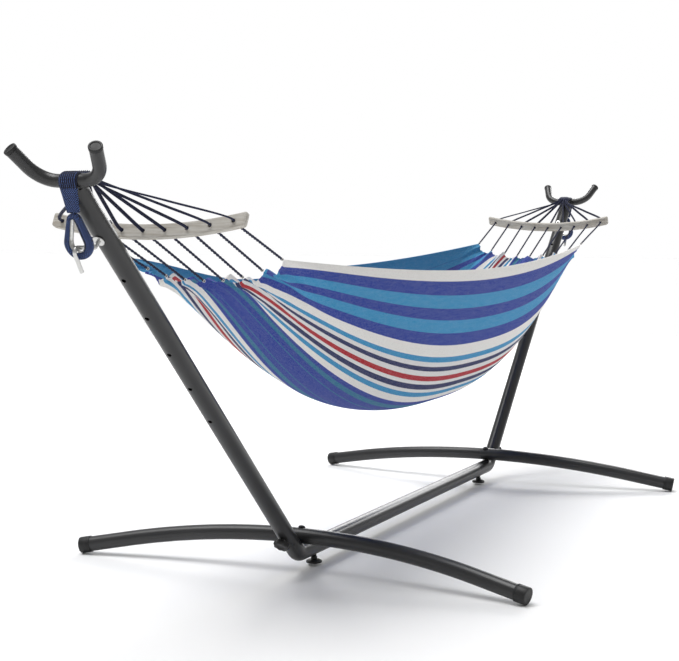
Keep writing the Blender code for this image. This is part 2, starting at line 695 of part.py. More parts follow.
def hang_direction(end):
    """The band's end hangs down past the upright's outer top edge."""
    edge = MAIN_RADIUS * end.off_tube - (HORN_RADIUS + GAP) * end.up_tube
    steep = math.atan2(-edge.dot(UP), edge.dot(end.out))
    hang = steep - math.acos((HORN_RADIUS + GAP - HANG_CLEARANCE) / edge.length)
    return -math.sin(hang) * end.out - math.cos(hang) * UP


def root_lift(end, along, normal):
    """How far the band's root stands off its line, to pass over the upright's top edge."""
    edge = -(HORN_RADIUS + GAP) * end.up_tube - MAIN_RADIUS * end.off_tube
    needed = edge.dot(normal) + BAND_CLEARANCE - (HORN_RADIUS + GAP)
    halves = -edge.dot(along) / (BAND_ROOT_LENGTH / 2)
    share = ROOT_LIFT_MIDWAY + (1 - ROOT_LIFT_MIDWAY) * (halves - 1)
    return needed / share


def band_path(end):
    """Stations (point, tangent) of the band's inner face, from the cords over the horn."""
    wrap = HORN_RADIUS + GAP
    along = cord_direction(end)
    down = hang_direction(end)
    start_normal = end.turn.cross(-along).normalized()
    turn = math.acos(max(-1.0, min(1.0, along.dot(down))))
    first = end.horn + wrap * start_normal
    lift = root_lift(end, along, start_normal) * start_normal
    path = [(first - BAND_ROOT_LENGTH * along + lift, along),
            (first - BAND_ROOT_LENGTH / 2 * along + ROOT_LIFT_MIDWAY * lift, along)]
    path += arc(end.horn, first, turn, end.turn, 8)
    last, tangent = path[-1]
    path += [(last + share * HANG_LENGTH * down, down) for share in (0.5, 1.0)]
    return path


def square_off(points, end, along, reach):
    """Slide points along this direction until they lie `reach` from the middle, along X."""
    return [point + (reach - point.dot(end.out)) / along.dot(end.out) * along for point in points]


def make_band(end):
    """Woven band over the horn: thick where the cords enter, narrow where the eye begins.

    Its root ends square to X, so that the cords' root can swing against it about X.
    """
    path = band_path(end)
    count = len(path)
    rings = []
    for index, (point, tangent) in enumerate(path):
        outer = end.turn.cross(-tangent).normalized()
        thick, half = BAND_THICKNESS, BAND_WIDTH / 2
        if index == 0:
            thick = BAND_ROOT_THICKNESS
        elif index == 1:
            thick = (BAND_THICKNESS + BAND_ROOT_THICKNESS) / 2
        elif index == count - 1:
            half = HANG_WIDTH / 2
        corner = BAND_EDGE
        section = [(-half, corner), (-half, thick - corner), (-half + corner, thick),
                   (half - corner, thick), (half, thick - corner), (half, corner),
                   (half - corner, 0), (-half + corner, 0)]
        rings.append([point + across * ACROSS + height * outer for across, height in section])
    root, along = path[0]
    rings[0] = square_off(rings[0], end, along, root.dot(end.out))
    verts, faces = solid(rings)
    add_mesh(f"{end.name}_band", verts, faces, rope_navy())


def teardrop(round_radius, throat_radius, steps=10):
    """Outline of two circles and the straight lines that touch both; the throat is at 0."""
    lean = math.asin((round_radius - throat_radius) / EYE_CENTRE)
    outline = []
    for step in range(steps + 1):
        angle = -lean + (math.pi + 2 * lean) * step / steps
        outline.append((round_radius * math.cos(angle), EYE_CENTRE + round_radius * math.sin(angle)))
    for step in range(4 + 1):
        angle = math.pi + lean + (math.pi - 2 * lean) * step / 4
        outline.append((throat_radius * math.cos(angle), throat_radius * math.sin(angle)))
    return outline


def eye_frame(end):
    """The throat of the eye, the direction down it and the direction out through it."""
    point, down = band_path(end)[-1]
    outer = end.turn.cross(-down).normalized()
    throat_radius = EYE_THROAT + THIMBLE_WALL + GAP + ROPE_AT_THROAT
    throat = point + BAND_THICKNESS / 2 * outer + (GAP + throat_radius) * down
    return throat, down, outer


def teardrop_ring(name, end, outline_out, outline_in, depth, bevel, finish):
    throat, down, outer = eye_frame(end)

    def place(outline, height):
        return [throat + across * ACROSS + along * down + height * outer
                for across, along in outline]

    half = depth / 2
    loops = [place(outline_in, half), place(shrunk(outline_out, bevel), half),
             place(outline_out, half - bevel), place(outline_out, bevel - half),
             place(shrunk(outline_out, bevel), -half), place(outline_in, -half)]
    verts, faces = skin(loops, closed=True)
    add_mesh(name, verts, faces, finish)


def shrunk(outline, by):
    """The outline moved in towards its own middle line by this much."""
    moved = []
    for across, along in outline:
        centre = Vector((0, min(max(along, 0), EYE_CENTRE)))
        arm = Vector((across, along)) - centre
        moved.append(tuple(centre + arm * (1 - by / max(arm.length, by * 2))))
    return moved


def make_eye(end):
    """Rope loop and the thimble inside it."""
    opening = EYE_OPENING / 2
    shell = THIMBLE_WALL
    inside = teardrop(opening, EYE_THROAT)
    thimble_out = teardrop(opening + shell, EYE_THROAT + shell)
    loop_in = teardrop(opening + shell + GAP, EYE_THROAT + shell + GAP)
    loop_out = teardrop(opening + shell + GAP + ROPE, EYE_THROAT + shell + GAP + ROPE_AT_THROAT)
    teardrop_ring(f"{end.name}_thimble", end, thimble_out, inside, THIMBLE_DEPTH,
                  THIMBLE_EDGE, zinc())
    teardrop_ring(f"{end.name}_eye_loop", end, loop_out, loop_in, ROPE, ROPE_EDGE, rope_navy())


def fillet_path(corners, radius, steps):
    """Stations (point, tangent) along straight runs joined by arcs of one radius."""
    stations = [(corners[0], (corners[1] - corners[0]).normalized())]
    for before, corner, after in zip(corners, corners[1:], corners[2:]):
        arrive = (corner - before).normalized()
        leave = (after - corner).normalized()
        turn = arrive.angle(leave)
        normal = arrive.cross(leave).normalized()
        start = corner - radius * math.tan(turn / 2) * arrive
        centre = start + radius * normal.cross(arrive)
        stations += arc(centre, start, turn, normal, steps)
    stations.append((corners[-1], (corners[-1] - corners[-2]).normalized()))
    return stations


def make_hook(end):
    """Rod through the upright that bends up through the eye and down past it."""
    throat, down, outer = eye_frame(end)
    hole = end.hook_hole()
    rod = HOOK_ROD / 2
    nut_face = MAIN_RADIUS + GAP
    start = hole - (nut_face + M8_NUT_HEIGHT + HOOK_PROUD) * end.off_tube
    first_bend = hole + (MAIN_RADIUS + HOOK_STRAIGHT) * end.off_tube
    low = throat + (EYE_CENTRE + EYE_OPENING / 2 - rod - HOOK_EASE) * down
    in_eye = low
    for _ in range(HOOK_SETTLES):
        lean = (in_eye - first_bend).angle(outer)
        rise = THIMBLE_DEPTH / 2 * math.tan(lean) + rod * (1 / math.cos(lean) - 1)
        in_eye = low - rise * down
    second_bend = in_eye + HOOK_REACH / math.cos(lean) * (in_eye - first_bend).normalized()
    tail = in_eye + HOOK_TAIL * down + rod * 2 * outer
    path = fillet_path([start, first_bend, second_bend, tail], HOOK_BEND, 4)
    rings = sweep([(point, tangent, rod) for point, tangent in path], ACROSS, SMALL_SIDES)
    verts, faces = solid(rings)
    add_mesh(f"{end.name}_hook", verts, faces, zinc())
    bore = rod + GAP
    disc = hole + nut_face * end.off_tube
    edge = DISC_DIAMETER / 2
    turned(f"{end.name}_hook_disc",
           [(bore, 0), (edge, 0), (edge, DISC_THICKNESS), (bore, DISC_THICKNESS)],
           disc, end.off_tube, HORN_SIDES, zinc(), hollow=True)
    hexagon(f"{end.name}_hook_nut", hole - nut_face * end.off_tube, -end.off_tube,
            M8_NUT_FLATS, M8_NUT_HEIGHT, bore, zinc())


# ---- hammock: bars, cords and bed -------------------------------------------------
def bar_station(end, across):
    """Centre of the spreader bar at this distance along Y; its ends bow upwards."""
    along = cord_direction(end)
    wide = along.cross(ACROSS) * end.side
    share = across / (BAR_HOLE_SPREAD / 2)
    middle = BAR_FROM_MIDDLE * end.out + BAR_HEIGHT * UP
    return middle + across * ACROSS + BAR_BOW * share * share * wide, along, wide


def make_bar(end, parent):
    """Bowed wooden bar with a hole for each cord."""
    half = BAR_LENGTH / 2
    spots = [(-half, BAR_TIP_SHARE)]
    spots += [(across, 1.0) for across in spaced(BAR_TIP - half, half - BAR_TIP, 8)]
    spots.append((half, BAR_TIP_SHARE))
    rings = []
    edge = BAR_EDGE
    for across, share in spots:
        centre, along, wide = bar_station(end, across)
        w, t = BAR_WIDTH / 2 * share, BAR_THICKNESS / 2 * share
        section = [(w, t - edge), (w - edge, t), (edge - w, t), (-w, t - edge),
                   (-w, edge - t), (edge - w, -t), (w - edge, -t), (w, edge - t)]
        rings.append([centre + a * wide + b * along for a, b in section])
    verts, faces = solid(rings)
    bar = add_mesh(f"{end.name}_spreader_bar", verts, faces, pale_wood(),
                   parent.location, parent)
    holes = []
    for number in range(CORD_COUNT):
        centre, along, _ = bar_station(end, cord_across(number))
        holes.append((centre, along, CORD_RADIUS + BAR_HOLE_CLEARANCE, 3 * BAR_THICKNESS))
    drill(bar, holes)


def cord_across(number):
    """Y of this cord's hole in the bar."""
    return (number / (CORD_COUNT - 1) - 0.5) * BAR_HOLE_SPREAD


def edge_half(x):
    """Half the distance between the bed's top edges at this X."""
    share = abs(x) / BED_HALF
    return BED_SPREAD / 2 + BED_BULGE * (1 - share ** EDGE_BULGE_POWER)


def edge_height(x):
    return EDGE_HEIGHT + EDGE_RISE * (abs(x) / BED_HALF) ** EDGE_RISE_POWER


def keel_height(x):
    share = min(abs(x) / BED_HALF, 1.0)
    return KEEL_END - BED_DEPTH * (1 - share ** KEEL_POWER) ** KEEL_FULLNESS


def bed_point(x, share):
    """A point of the bed's middle surface: share runs from -1 to 1 across the cloth."""
    angle = share * math.pi / 2
    power = 2 / SECTION_POWER
    across = math.copysign(abs(math.sin(angle)) ** power, share)
    depth = abs(math.cos(angle)) ** power
    height = edge_height(x) - (edge_height(x) - keel_height(x)) * depth
    return Vector((x, edge_half(x) * across, height))


def cord_end(end, number):
    """Where this cord meets the cloth's end edge."""
    across = (number / (CORD_COUNT - 1) - 0.5) * BED_SPREAD
    share = abs(across) / (BED_SPREAD / 2)
    rise = (edge_height(BED_HALF) - KEEL_END) * share ** SECTION_POWER
    return (BED_HALF + CLOTH_THICKNESS) * end.out + across * ACROSS + (KEEL_END + rise) * UP


def make_cords(end, parent):
    """One rope makes every cord: they run from one bound root through the bar to the cloth."""
    root, along = band_path(end)[0]
    wide = along.cross(ACROSS) * end.side
    height = BAND_ROOT_THICKNESS / 2
    half = BAND_WIDTH / 2
    corner = ROOT_EDGE
    section = [(-half, height - corner), (corner - half, height), (half - corner, height),
               (half, height - corner), (half, corner - height), (half - corner, -height),
               (corner - half, -height), (-half, corner - height)]
    middle = root + height * wide
    rings = [[middle - back * along + a * ACROSS + b * wide for a, b in section]
             for back in (0, ROOT_LENGTH)]
    rings[0] = square_off(rings[0], end, along, root.dot(end.out) - GAP)
    verts, faces = solid(rings)
    cords = add_mesh(f"{end.name}_cords", verts, faces, rope_navy(), parent.location, parent)
    for number in range(CORD_COUNT):
        layer = ROOT_LAYER * (1 if number % 2 else -1)
        spread = (number / (CORD_COUNT - 1) - 0.5) * ROOT_SPREAD
        start = middle - ROOT_LENGTH / 2 * along + spread * ACROSS + layer * wide
        leave = start - ROOT_LENGTH * along
        hole, straight, _ = bar_station(end, cord_across(number))
        reach = BAR_THICKNESS / 2 + CORD_STRAIGHT
        above, below = hole + reach * straight, hole - reach * straight
        finish = cord_end(end, number)
        points = [start, leave]
        points += [leave.lerp(above, 0.5), above, below, below.lerp(finish, 0.5), finish]
        strand = strand_mesh(f"{end.name}_cord_{number + 1}", points)
        join = cords.modifiers.new("cord", "BOOLEAN")
        join.operation = "UNION"
        join.solver = "EXACT"
        join.object = strand


def strand_mesh(name, points):
    """Round cord through these points, as a guide that the cords' root takes in."""
    rings = []
    last = len(points) - 1
    for index, point in enumerate(points):
        tangent = (points[min(index + 1, last)] - points[max(index - 1, 0)]).normalized()
        first = tangent.cross(ACROSS).normalized()
        rings.append(ring(point, first, tangent.cross(first), CORD_RADIUS, CORD_SIDES))
    verts, faces = solid(rings)
    strand = add_mesh(name, verts, faces, rope_navy())
    strand.hide_render = True
    strand.display_type = "WIRE"
    return strand


def make_bed(parent):
    """Cloth trough: a thin closed shell, open at the top and at both ends."""
    columns, rows = 20, 10
    layers = []
    for side_of_cloth in (0.5, -0.5):
        layer = []
        for x in spaced(-BED_HALF, BED_HALF, columns):
            line = []
            for share in spaced(-1.0, 1.0, rows):
                line.append(bed_point(x, share)
                            + side_of_cloth * CLOTH_THICKNESS * bed_normal(x, share))
            layer.append(line)
        layers.append(layer)
    rings = [upper + lower[::-1] for upper, lower in zip(*layers)]
    verts, faces = skin(rings)
    wide = 2 * (rows + 1)
    for start in (0, columns * wide):
        for row in range(rows):
            faces.append((start + row, start + row + 1,
                          start + wide - 2 - row, start + wide - 1 - row))
    add_mesh("bed_cloth", verts, faces, cotton(), parent.location, parent)


def bed_normal(x, share):
    """Unit normal of the bed's middle surface, pointing into the hollow."""
    step = 1e-4
    low, high = max(x - step, -BED_HALF), min(x + step, BED_HALF)
    left, right = max(share - step, -1.0), min(share + step, 1.0)
    along = bed_point(high, share) - bed_point(low, share)
    across = bed_point(x, right) - bed_point(x, left)
    return along.cross(across).normalized()


# ---- build ------------------------------------------------------------------------
def build():
    for old in list(bpy.data.objects):
        bpy.data.objects.remove(old, do_unlink=True)
    swing = bpy.data.objects.new("hammock_swing_axis", None)
    swing.location = SWING_HEIGHT * UP
    bpy.context.collection.objects.link(swing)
    make_spine()
    for name in SIDES:
        end = End(name)
        make_leg(end)
        make_leg_caps(end)
        make_elbow(end)
        make_upright(end)
        make_horn(end)
        make_leg_bolt(end)
        make_clamp(end)
        make_foot(end)
        make_spine_button(end)
        make_band(end)
        make_eye(end)
        make_hook(end)
        make_bar(end, swing)
        make_cords(end, swing)
    make_bed(swing)


build()
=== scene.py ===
"""Hammock on a tubular steel stand: the looks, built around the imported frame.

Metres, +Z up, in the frame of the solids. The places below repeat the part's own driving
sizes, so every detailed piece lies where its plain solid does.
"""
import json
from math import acos, asin, atan2, copysign, cos, dist, exp, hypot, pi, radians, sin, sqrt, tan

import bmesh
import bpy
from mathutils import Matrix, Vector


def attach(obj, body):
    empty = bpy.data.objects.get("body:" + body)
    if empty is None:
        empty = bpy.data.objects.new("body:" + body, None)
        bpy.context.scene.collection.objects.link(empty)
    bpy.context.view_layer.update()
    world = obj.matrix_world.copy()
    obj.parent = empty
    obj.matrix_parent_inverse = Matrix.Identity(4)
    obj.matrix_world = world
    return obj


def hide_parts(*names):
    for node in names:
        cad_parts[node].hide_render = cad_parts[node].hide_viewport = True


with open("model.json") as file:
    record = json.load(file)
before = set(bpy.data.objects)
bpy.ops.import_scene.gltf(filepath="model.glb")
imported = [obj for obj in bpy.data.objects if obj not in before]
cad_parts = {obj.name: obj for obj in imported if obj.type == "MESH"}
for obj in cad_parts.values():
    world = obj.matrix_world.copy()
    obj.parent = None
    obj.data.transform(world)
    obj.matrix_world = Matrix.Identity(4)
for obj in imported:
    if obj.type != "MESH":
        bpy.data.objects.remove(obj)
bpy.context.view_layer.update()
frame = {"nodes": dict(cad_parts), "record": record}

# ---- the part's own sizes ---------------------------------------------------------
GAP = 0.0003
LEG_SPAN, BASE_HALF, SPINE_HEIGHT = 1.200, 0.689, 0.048
UPRIGHT_ANGLE, UPRIGHT_LENGTH = radians(44.6), 1.2485
MAIN_RADIUS, MAIN_WALL = 0.021, 0.0015
UPRIGHT_SEAM, SPINE_SEAM = 0.060, 0.1135
LEG_RADIUS, LEG_ARCH_HALF, LEG_SEAM = 0.019, 0.476, 0.014
CAP_RADIUS, CAP_LENGTH, CAP_FLOOR = 0.0208, 0.030, 0.004
HORN_RADIUS, HORN_BAR_HALF, HORN_BEND_RADIUS = 0.0127, 0.027, 0.055
HORN_BEND, HORN_TIP = radians(72), 0.040
HOLE_RADIUS, HOLE_FIRST, HOLE_PITCH, HOLE_COUNT = 0.0050, 0.135, 0.112, 6
BAND_WIDTH, BAND_THICKNESS, BAND_ROOT_THICKNESS = 0.040, 0.005, 0.013
BAND_ROOT_LENGTH, BAND_ROOT_LIFT, LIFT_MIDWAY = 0.030, 0.0075, 0.7
HANG_ANGLE, HANG_LENGTH, HANG_WIDTH = radians(17), 0.056, 0.028
EYE_OPENING, EYE_CENTRE, EYE_THROAT = 0.030, 0.043, 0.0035
EYE_STEPS, THROAT_STEPS, EYE_STEP = 40, 8, 0.0025
THIMBLE_WALL, THIMBLE_DEPTH, ROPE, ROPE_AT_THROAT = 0.0015, 0.014, 0.014, 0.010
HOOK_RADIUS, HOOK_STRAIGHT, HOOK_BEND = 0.004, 0.018, 0.009
HOOK_REACH, HOOK_EASE, HOOK_TAIL, HOOK_BEHIND = 0.023, 0.0010, 0.046, 0.0105
CORD_COUNT, CORD_DIAMETER, CORD_STRAIGHT = 9, 0.0065, 0.010
ROOT_LENGTH, ROOT_SPREAD, ROOT_LAYER = 0.016, 0.0325, 0.0027
BAR_LENGTH, BAR_WIDTH, BAR_THICKNESS = 0.450, 0.030, 0.014
BAR_FROM_MIDDLE, BAR_HEIGHT, BAR_BOW, BAR_HOLE_SPREAD = 1.3415, 0.830, 0.0213, 0.398
BAR_HOLE_RADIUS = 0.00445
BED_HALF, BED_SPREAD, BED_BULGE = 1.112, 0.374, 0.048
EDGE_HEIGHT, EDGE_RISE, KEEL_END, BED_DEPTH = 0.720, 0.052, 0.724, 0.388
KEEL_POWER, KEEL_FULLNESS, SECTION_POWER = 2.784, 1.547, 2.33
EDGE_BULGE_POWER, EDGE_RISE_POWER, CLOTH_THICKNESS = 2.2, 1.8, 0.003
FOOT_LIFT, FOOT_PAD_HEIGHT, FOOT_PAD_RADIUS = 0.006, 0.008, 0.020
FOOT_INSET, CLAMP_UP, CLAMP_WASHER = 0.090, 0.084, 0.0016
ELBOW_WALL, FOOT_HOLE_RADIUS, FOOT_HOLE_CUT = 0.0033, 0.0065, 0.020
DISC_RADIUS, DISC_THICKNESS = 0.012, 0.0022
BOLT_HEAD, BOLT_DOME, BOLT_RADIUS, BOLT_SHOWN = 0.009, 0.006, 0.004, 0.020
KNOB_RADIUS, KNOB_HEIGHT, KNOB_LOBES, KNOB_FLUTE = 0.020, 0.014, 8, 0.0018
STUD_RADIUS, STUD_PITCH, STUD_TURNS, THREAD_RISE, THREAD_DEPTH = 0.0060, 0.00175, 14, 0.0008, 0.0006
STUD_SIDES, COLLAR_RADIUS, COLLAR_HEIGHT = 32, 0.0080, 0.007
FLAT_WIDTH, FLAT_LENGTH = 1.01, 2.50    # the bed's cloth, cut flat

TURN = 2 * pi
UP = Vector((0, 0, 1))
ACROSS = Vector((0, 1, 0))
LEG_SEAT = MAIN_RADIUS + LEG_RADIUS + GAP
LEG_IN = LEG_SEAT * tan(UPRIGHT_ANGLE / 2)
LEG_HEIGHT = SPINE_HEIGHT + LEG_SEAT


# ---- camera and lights ------------------------------------------------------------
CAMERA_PLACE, CAMERA_LENS, CAMERA_SENSOR = (-3.69852, -1.54584, 0.84684), 74.97, 36
CAMERA_YAW, CAMERA_PITCH, CAMERA_ROLL = (radians(angle) for angle in (25.4397, 4.3458, 0.1283))


def put(name, data):
    thing = bpy.data.objects.new(name, data)
    bpy.context.scene.collection.objects.link(thing)
    return thing


def make_camera():
    data = bpy.data.cameras.new("camera")
    data.sensor_width = CAMERA_SENSOR
    data.lens = CAMERA_LENS
    camera = put("camera", data)
    level = cos(CAMERA_PITCH)
    forward = Vector((cos(CAMERA_YAW) * level, sin(CAMERA_YAW) * level,
                      -sin(CAMERA_PITCH)))
    turn = forward.to_track_quat("-Z", "Y").to_matrix()
    turn = turn @ Matrix.Rotation(-CAMERA_ROLL, 3, "Z")
    camera.matrix_world = Matrix.Translation(CAMERA_PLACE) @ turn.to_4x4()
    bpy.context.scene.camera = camera


def make_light(name, kind, direction, energy, place=(0, 0, 0)):
    """A lamp that shines along one direction."""
    lamp = put(name, bpy.data.lights.new(name, kind))
    lamp.data.energy = energy
    lamp.location = place
    lamp.rotation_euler = Vector(direction).to_track_quat("-Z", "Y").to_euler()
    return lamp.data


make_camera()


# ---- materials --------------------------------------------------------------------
class Nodes:
    """A material and short ways to add and join its nodes."""

    def __init__(self, name, colour, roughness, metallic=0.0):
        self.made = bpy.data.materials.new(name)
        self.made.use_nodes = True
        self.made.diffuse_color = colour
        self.tree = self.made.node_tree
        self.shader = self.tree.nodes["Principled BSDF"]
        self.shader.inputs["Base Color"].default_value = colour
        self.shader.inputs["Roughness"].default_value = roughness
        self.shader.inputs["Metallic"].default_value = metallic
        self.place = self.add("ShaderNodeTexCoord").outputs["Object"]

    def add(self, kind, **settings):
        node = self.tree.nodes.new(kind)
        for key, value in settings.items():
            setattr(node, key, value)
        return node

    def link(self, source, target):
        if isinstance(source, (int, float, tuple)):
            target.default_value = source
        else:
            self.tree.links.new(source, target)

    def noise(self, scale, detail=2.0, roughness=0.5, stretch=(1, 1, 1)):
        mapping = self.add("ShaderNodeMapping")
        mapping.inputs["Scale"].default_value = stretch
        self.link(self.place, mapping.inputs["Vector"])
        node = self.add("ShaderNodeTexNoise")
        self.link(mapping.outputs["Vector"], node.inputs["Vector"])
        node.inputs["Scale"].default_value = scale
        node.inputs["Detail"].default_value = detail
        node.inputs["Roughness"].default_value = roughness
        return node.outputs["Fac"]

    def math(self, operation, first, second=0.0):
        node = self.add("ShaderNodeMath", operation=operation)
        for value, socket in zip((first, second), node.inputs):
            self.link(value, socket)
        return node.outputs[0]

    def wave(self, value, pitch):
        return self.math("SINE", self.math("MULTIPLY", value, TURN / pitch))

    def span(self, value, low, high, to_low, to_high):
        node = self.add("ShaderNodeMapRange")
        self.link(value, node.inputs["Value"])
        for name, number in (("From Min", low), ("From Max", high),
                             ("To Min", to_low), ("To Max", to_high)):
            node.inputs[name].default_value = number
        return node.outputs["Result"]

    def mix(self, factor, first, second):
        node = self.add("ShaderNodeMix", data_type="RGBA")
        # a colour mix has its factor, A and B in these sockets
        for value, socket in ((factor, 0), (first, 6), (second, 7)):
            self.link(value, node.inputs[socket])
        return node.outputs[2]

    def bump(self, height, distance, strength=1.0):
        node = self.add("ShaderNodeBump")
        node.inputs["Strength"].default_value = strength
        node.inputs["Distance"].default_value = distance
        self.link(height, node.inputs["Height"])
        self.link(node.outputs["Normal"], self.shader.inputs["Normal"])

    def attribute(self, name):
        return self.add("ShaderNodeAttribute", attribute_name=name).outputs["Fac"]

    def base(self, source):
        self.link(source, self.shader.inputs["Base Color"])

    def rough(self, source, low, high):
        self.link(self.span(source, 0.3, 0.7, low, high), self.shader.inputs["Roughness"])

    def sheen(self, weight, roughness=0.5):
        self.shader.inputs["Sheen Weight"].default_value = weight
        self.shader.inputs["Sheen Roughness"].default_value = roughness


def srgb(red, green, blue):
    """A colour given in display values out of 255, as the linear values that nodes take."""
    def linear(value):
        return value / 12.92 if value <= 0.04045 else ((value + 0.055) / 1.055) ** 2.4
    return (linear(red / 255), linear(green / 255), linear(blue / 255), 1.0)


def powder_coat():
    m = Nodes("charcoal_powder_coat", srgb(40, 40, 41), 0.34)
    fine = m.noise(900, 2)
    broad = m.noise(9, 3)
    m.base(m.mix(broad, srgb(35, 35, 36), srgb(46, 46, 47)))
    m.rough(fine, 0.28, 0.38)
    m.bump(fine, 0.0001, 0.35)
    return m.made


def black_plastic():
    m = Nodes("black_plastic", srgb(24, 24, 25), 0.5)
    grain = m.noise(1400, 2)
    scuff = m.noise(60, 4)
    m.base(m.mix(scuff, srgb(8, 8, 9), srgb(22, 22, 23)))
    m.rough(scuff, 0.42, 0.6)
    m.bump(grain, 0.00008, 0.4)
    return m.made


def zinc():
    m = Nodes("zinc_plate", srgb(205, 205, 202), 0.25, 1.0)
    spangle = m.noise(500, 3)
    brushed = m.noise(300, 2, stretch=(1, 12, 1))
    m.base(m.mix(spangle, srgb(190, 190, 188), srgb(222, 222, 220)))
    m.rough(brushed, 0.18, 0.36)
    m.bump(brushed, 0.00004, 0.3)
    return m.made


def pale_wood():
    """Whitewashed hardwood: long grain along Y, pores, and a little colour between boards."""
    m = Nodes("pale_wood", srgb(214, 208, 198), 0.62)
    rings = m.noise(26, 4, 0.55, stretch=(9, 0.55, 9))
    pores = m.noise(260, 3, 0.6, stretch=(4, 0.12, 4))
    wash = m.noise(14, 3)
    wood = m.mix(m.span(rings, 0.35, 0.68, 0, 1), srgb(190, 187, 180), srgb(158, 150, 138))
    wood = m.mix(m.span(pores, 0.56, 0.72, 0, 0.6), wood, srgb(128, 118, 106))
    wood = m.mix(m.span(wash, 0.4, 0.7, 0, 0.5), wood, srgb(198, 196, 190))
    m.base(wood)
    m.rough(pores, 0.5, 0.72)
    m.bump(m.math("ADD", rings, pores), 0.0003, 0.4)
    return m.made


def navy_cord():
    """Navy cotton cord: fine fibres, darker in its depths."""
    m = Nodes("navy_cord", srgb(22, 28, 70), 0.85)
    fibre = m.noise(1500, 3, 0.6)
    tone = m.noise(90, 2)
    navy = m.mix(m.span(fibre, 0.3, 0.7, 0, 1), srgb(8, 12, 34), srgb(26, 36, 78))
    m.base(m.mix(m.span(tone, 0.3, 0.7, 0, 0.5), navy, srgb(11, 15, 40)))
    m.sheen(0.05)
    m.bump(fibre, 0.0003, 0.6)
    return m.made


BAND_PITCH, STRAND_SHADE = 0.0044, 0.55


def woven_band():
    """Basket weave from the piece's own "along" and "across" values, in metres of band, drawn as
    painted shade in the grooves between strands and painted light on their raised tops.
    """
    m = Nodes("woven_band", srgb(34, 44, 108), 0.85)
    # the over-and-under crossings: painted light where a strand lies on top, painted shade where it
    # passes under
    lengthwise = m.wave(m.attribute("along"), BAND_PITCH)
    crosswise = m.wave(m.attribute("across"), BAND_PITCH)
    weave = m.math("MULTIPLY", lengthwise, crosswise)
    fibre = m.noise(1600, 2)
    plaited = m.attribute("weave")
    # painted shade: dark lines in the grooves between strands, strongest over the horn and fading
    # where the band is plaited
    depth = m.math("SUBTRACT", STRAND_SHADE, m.math("MULTIPLY", plaited, STRAND_SHADE))
    strands = m.math("MULTIPLY", crosswise, depth)
    painted_weave_shade = m.math("ADD", m.math("MULTIPLY", weave, plaited), strands)
    shade = m.math("ADD", painted_weave_shade, m.span(fibre, 0.3, 0.7, -0.3, 0.3))
    # the painted light and shade run from dark navy to pale blue
    tone = m.mix(m.span(shade, 0.12, 0.85, 0, 1), srgb(9, 13, 38), srgb(100, 134, 212))
    m.base(tone)
    m.sheen(0.05)
    m.bump(shade, 0.0006, 0.8)
    return m.made


# each stripe's far edge, as a share of the cloth's width from either edge in, and its dye
STRIPES = [
    (0.028, "cream"), (0.065, "royal"), (0.1014, "teal"), (0.1323, "royal"),
    (0.1665, "teal"), (0.1995, "royal"), (0.2337, "cream"), (0.2487, "teal"),
    (0.2635, "white"), (0.2772, "navy"), (0.2916, "white"), (0.3084, "red"),
    (0.3201, "white"), (0.3366, "navy"), (0.348, "white"), (0.366, "teal"),
    (0.392, "cream"), (0.412, "royal"), (0.433, "deep"), (0.462, "royal"), (0.466, "deep"),
    (0.500, "royal"),
]
DYES = {"cream": srgb(238, 236, 232), "white": srgb(228, 227, 226), "royal": srgb(28, 56, 152),
        "teal": srgb(48, 144, 194), "red": srgb(176, 12, 30), "navy": srgb(26, 34, 88),
        "deep": srgb(28, 112, 146)}
YARN_ACROSS, YARN_ALONG, STRIPE_WOBBLE = 0.0022, 0.0026, 0.0010


def striped_cotton():
    """Lengthwise stripes on the cloth's "share" value, 0 to 1 across it, over a heathered weave
    with painted light and shade on its yarns.
    """
    m = Nodes("striped_cotton", srgb(70, 90, 160), 0.92)
    share = m.attribute("share")
    wobble = m.noise(400, 2)
    half = m.math("SUBTRACT", 0.5, m.math("ABSOLUTE", m.math("SUBTRACT", share, 0.5)))
    half = m.math("ADD", half, m.span(wobble, 0, 1, -STRIPE_WOBBLE, STRIPE_WOBBLE))
    ramp = m.add("ShaderNodeValToRGB")
    ramp.color_ramp.interpolation = "CONSTANT"
    m.link(m.math("MULTIPLY", half, 2.0), ramp.inputs["Fac"])
    stops = ramp.color_ramp.elements
    start = 0.0
    for number, (end, dye) in enumerate(STRIPES):
        stop = stops[number] if number < 2 else stops.new(start * 2)
        stop.position = start * 2
        stop.color = DYES[dye]
        start = end
    # the back edge is coloured teal, as if turned under, so that no hem shows along it
    turned_under = m.math("GREATER_THAN", share, 1 - STRIPES[1][0])
    dyed = m.mix(turned_under, ramp.outputs["Color"], DYES["teal"])
    # the weave term is painted light on the yarns' crowns and painted shade in the gaps between
    # them; the heather noise is the yarn's own colour
    weave = m.math("MULTIPLY", m.wave(m.attribute("yarn_across"), YARN_ACROSS),
                   m.wave(m.attribute("yarn_along"), YARN_ALONG))
    heather = m.noise(460, 3, 0.65)
    slub = m.noise(70, 3, 0.6, stretch=(0.25, 3, 3))
    heather_and_weave_shade = m.math("ADD", m.span(heather, 0.30, 0.70, -0.5, 0.5), m.math("MULTIPLY", weave, 0.22))
    light = m.mix(m.span(heather_and_weave_shade, -0.1, 0.75, 0, 0.24), dyed, srgb(200, 205, 215))
    dark = m.mix(m.span(heather_and_weave_shade, -0.7, -0.1, 0.40, 0), light, srgb(14, 20, 50))
    m.base(m.mix(m.span(slub, 0.35, 0.75, 0, 0.06), dark, srgb(215, 217, 222)))
    m.shader.inputs["Specular IOR Level"].default_value = 0.2
    m.sheen(0.04, 0.6)
    m.bump(m.math("ADD", m.math("MULTIPLY", weave, 0.5), m.math("MULTIPLY", heather, 1.2)),
           0.0005, 0.7)
    return m.made


def white_yarn():
    m = Nodes("white_yarn", srgb(226, 224, 218), 0.9)
    fibre = m.noise(1300, 3)
    m.base(m.mix(fibre, srgb(206, 203, 196), srgb(240, 239, 235)))
    m.sheen(0.2)
    m.bump(fibre, 0.0003, 0.5)
    return m.made


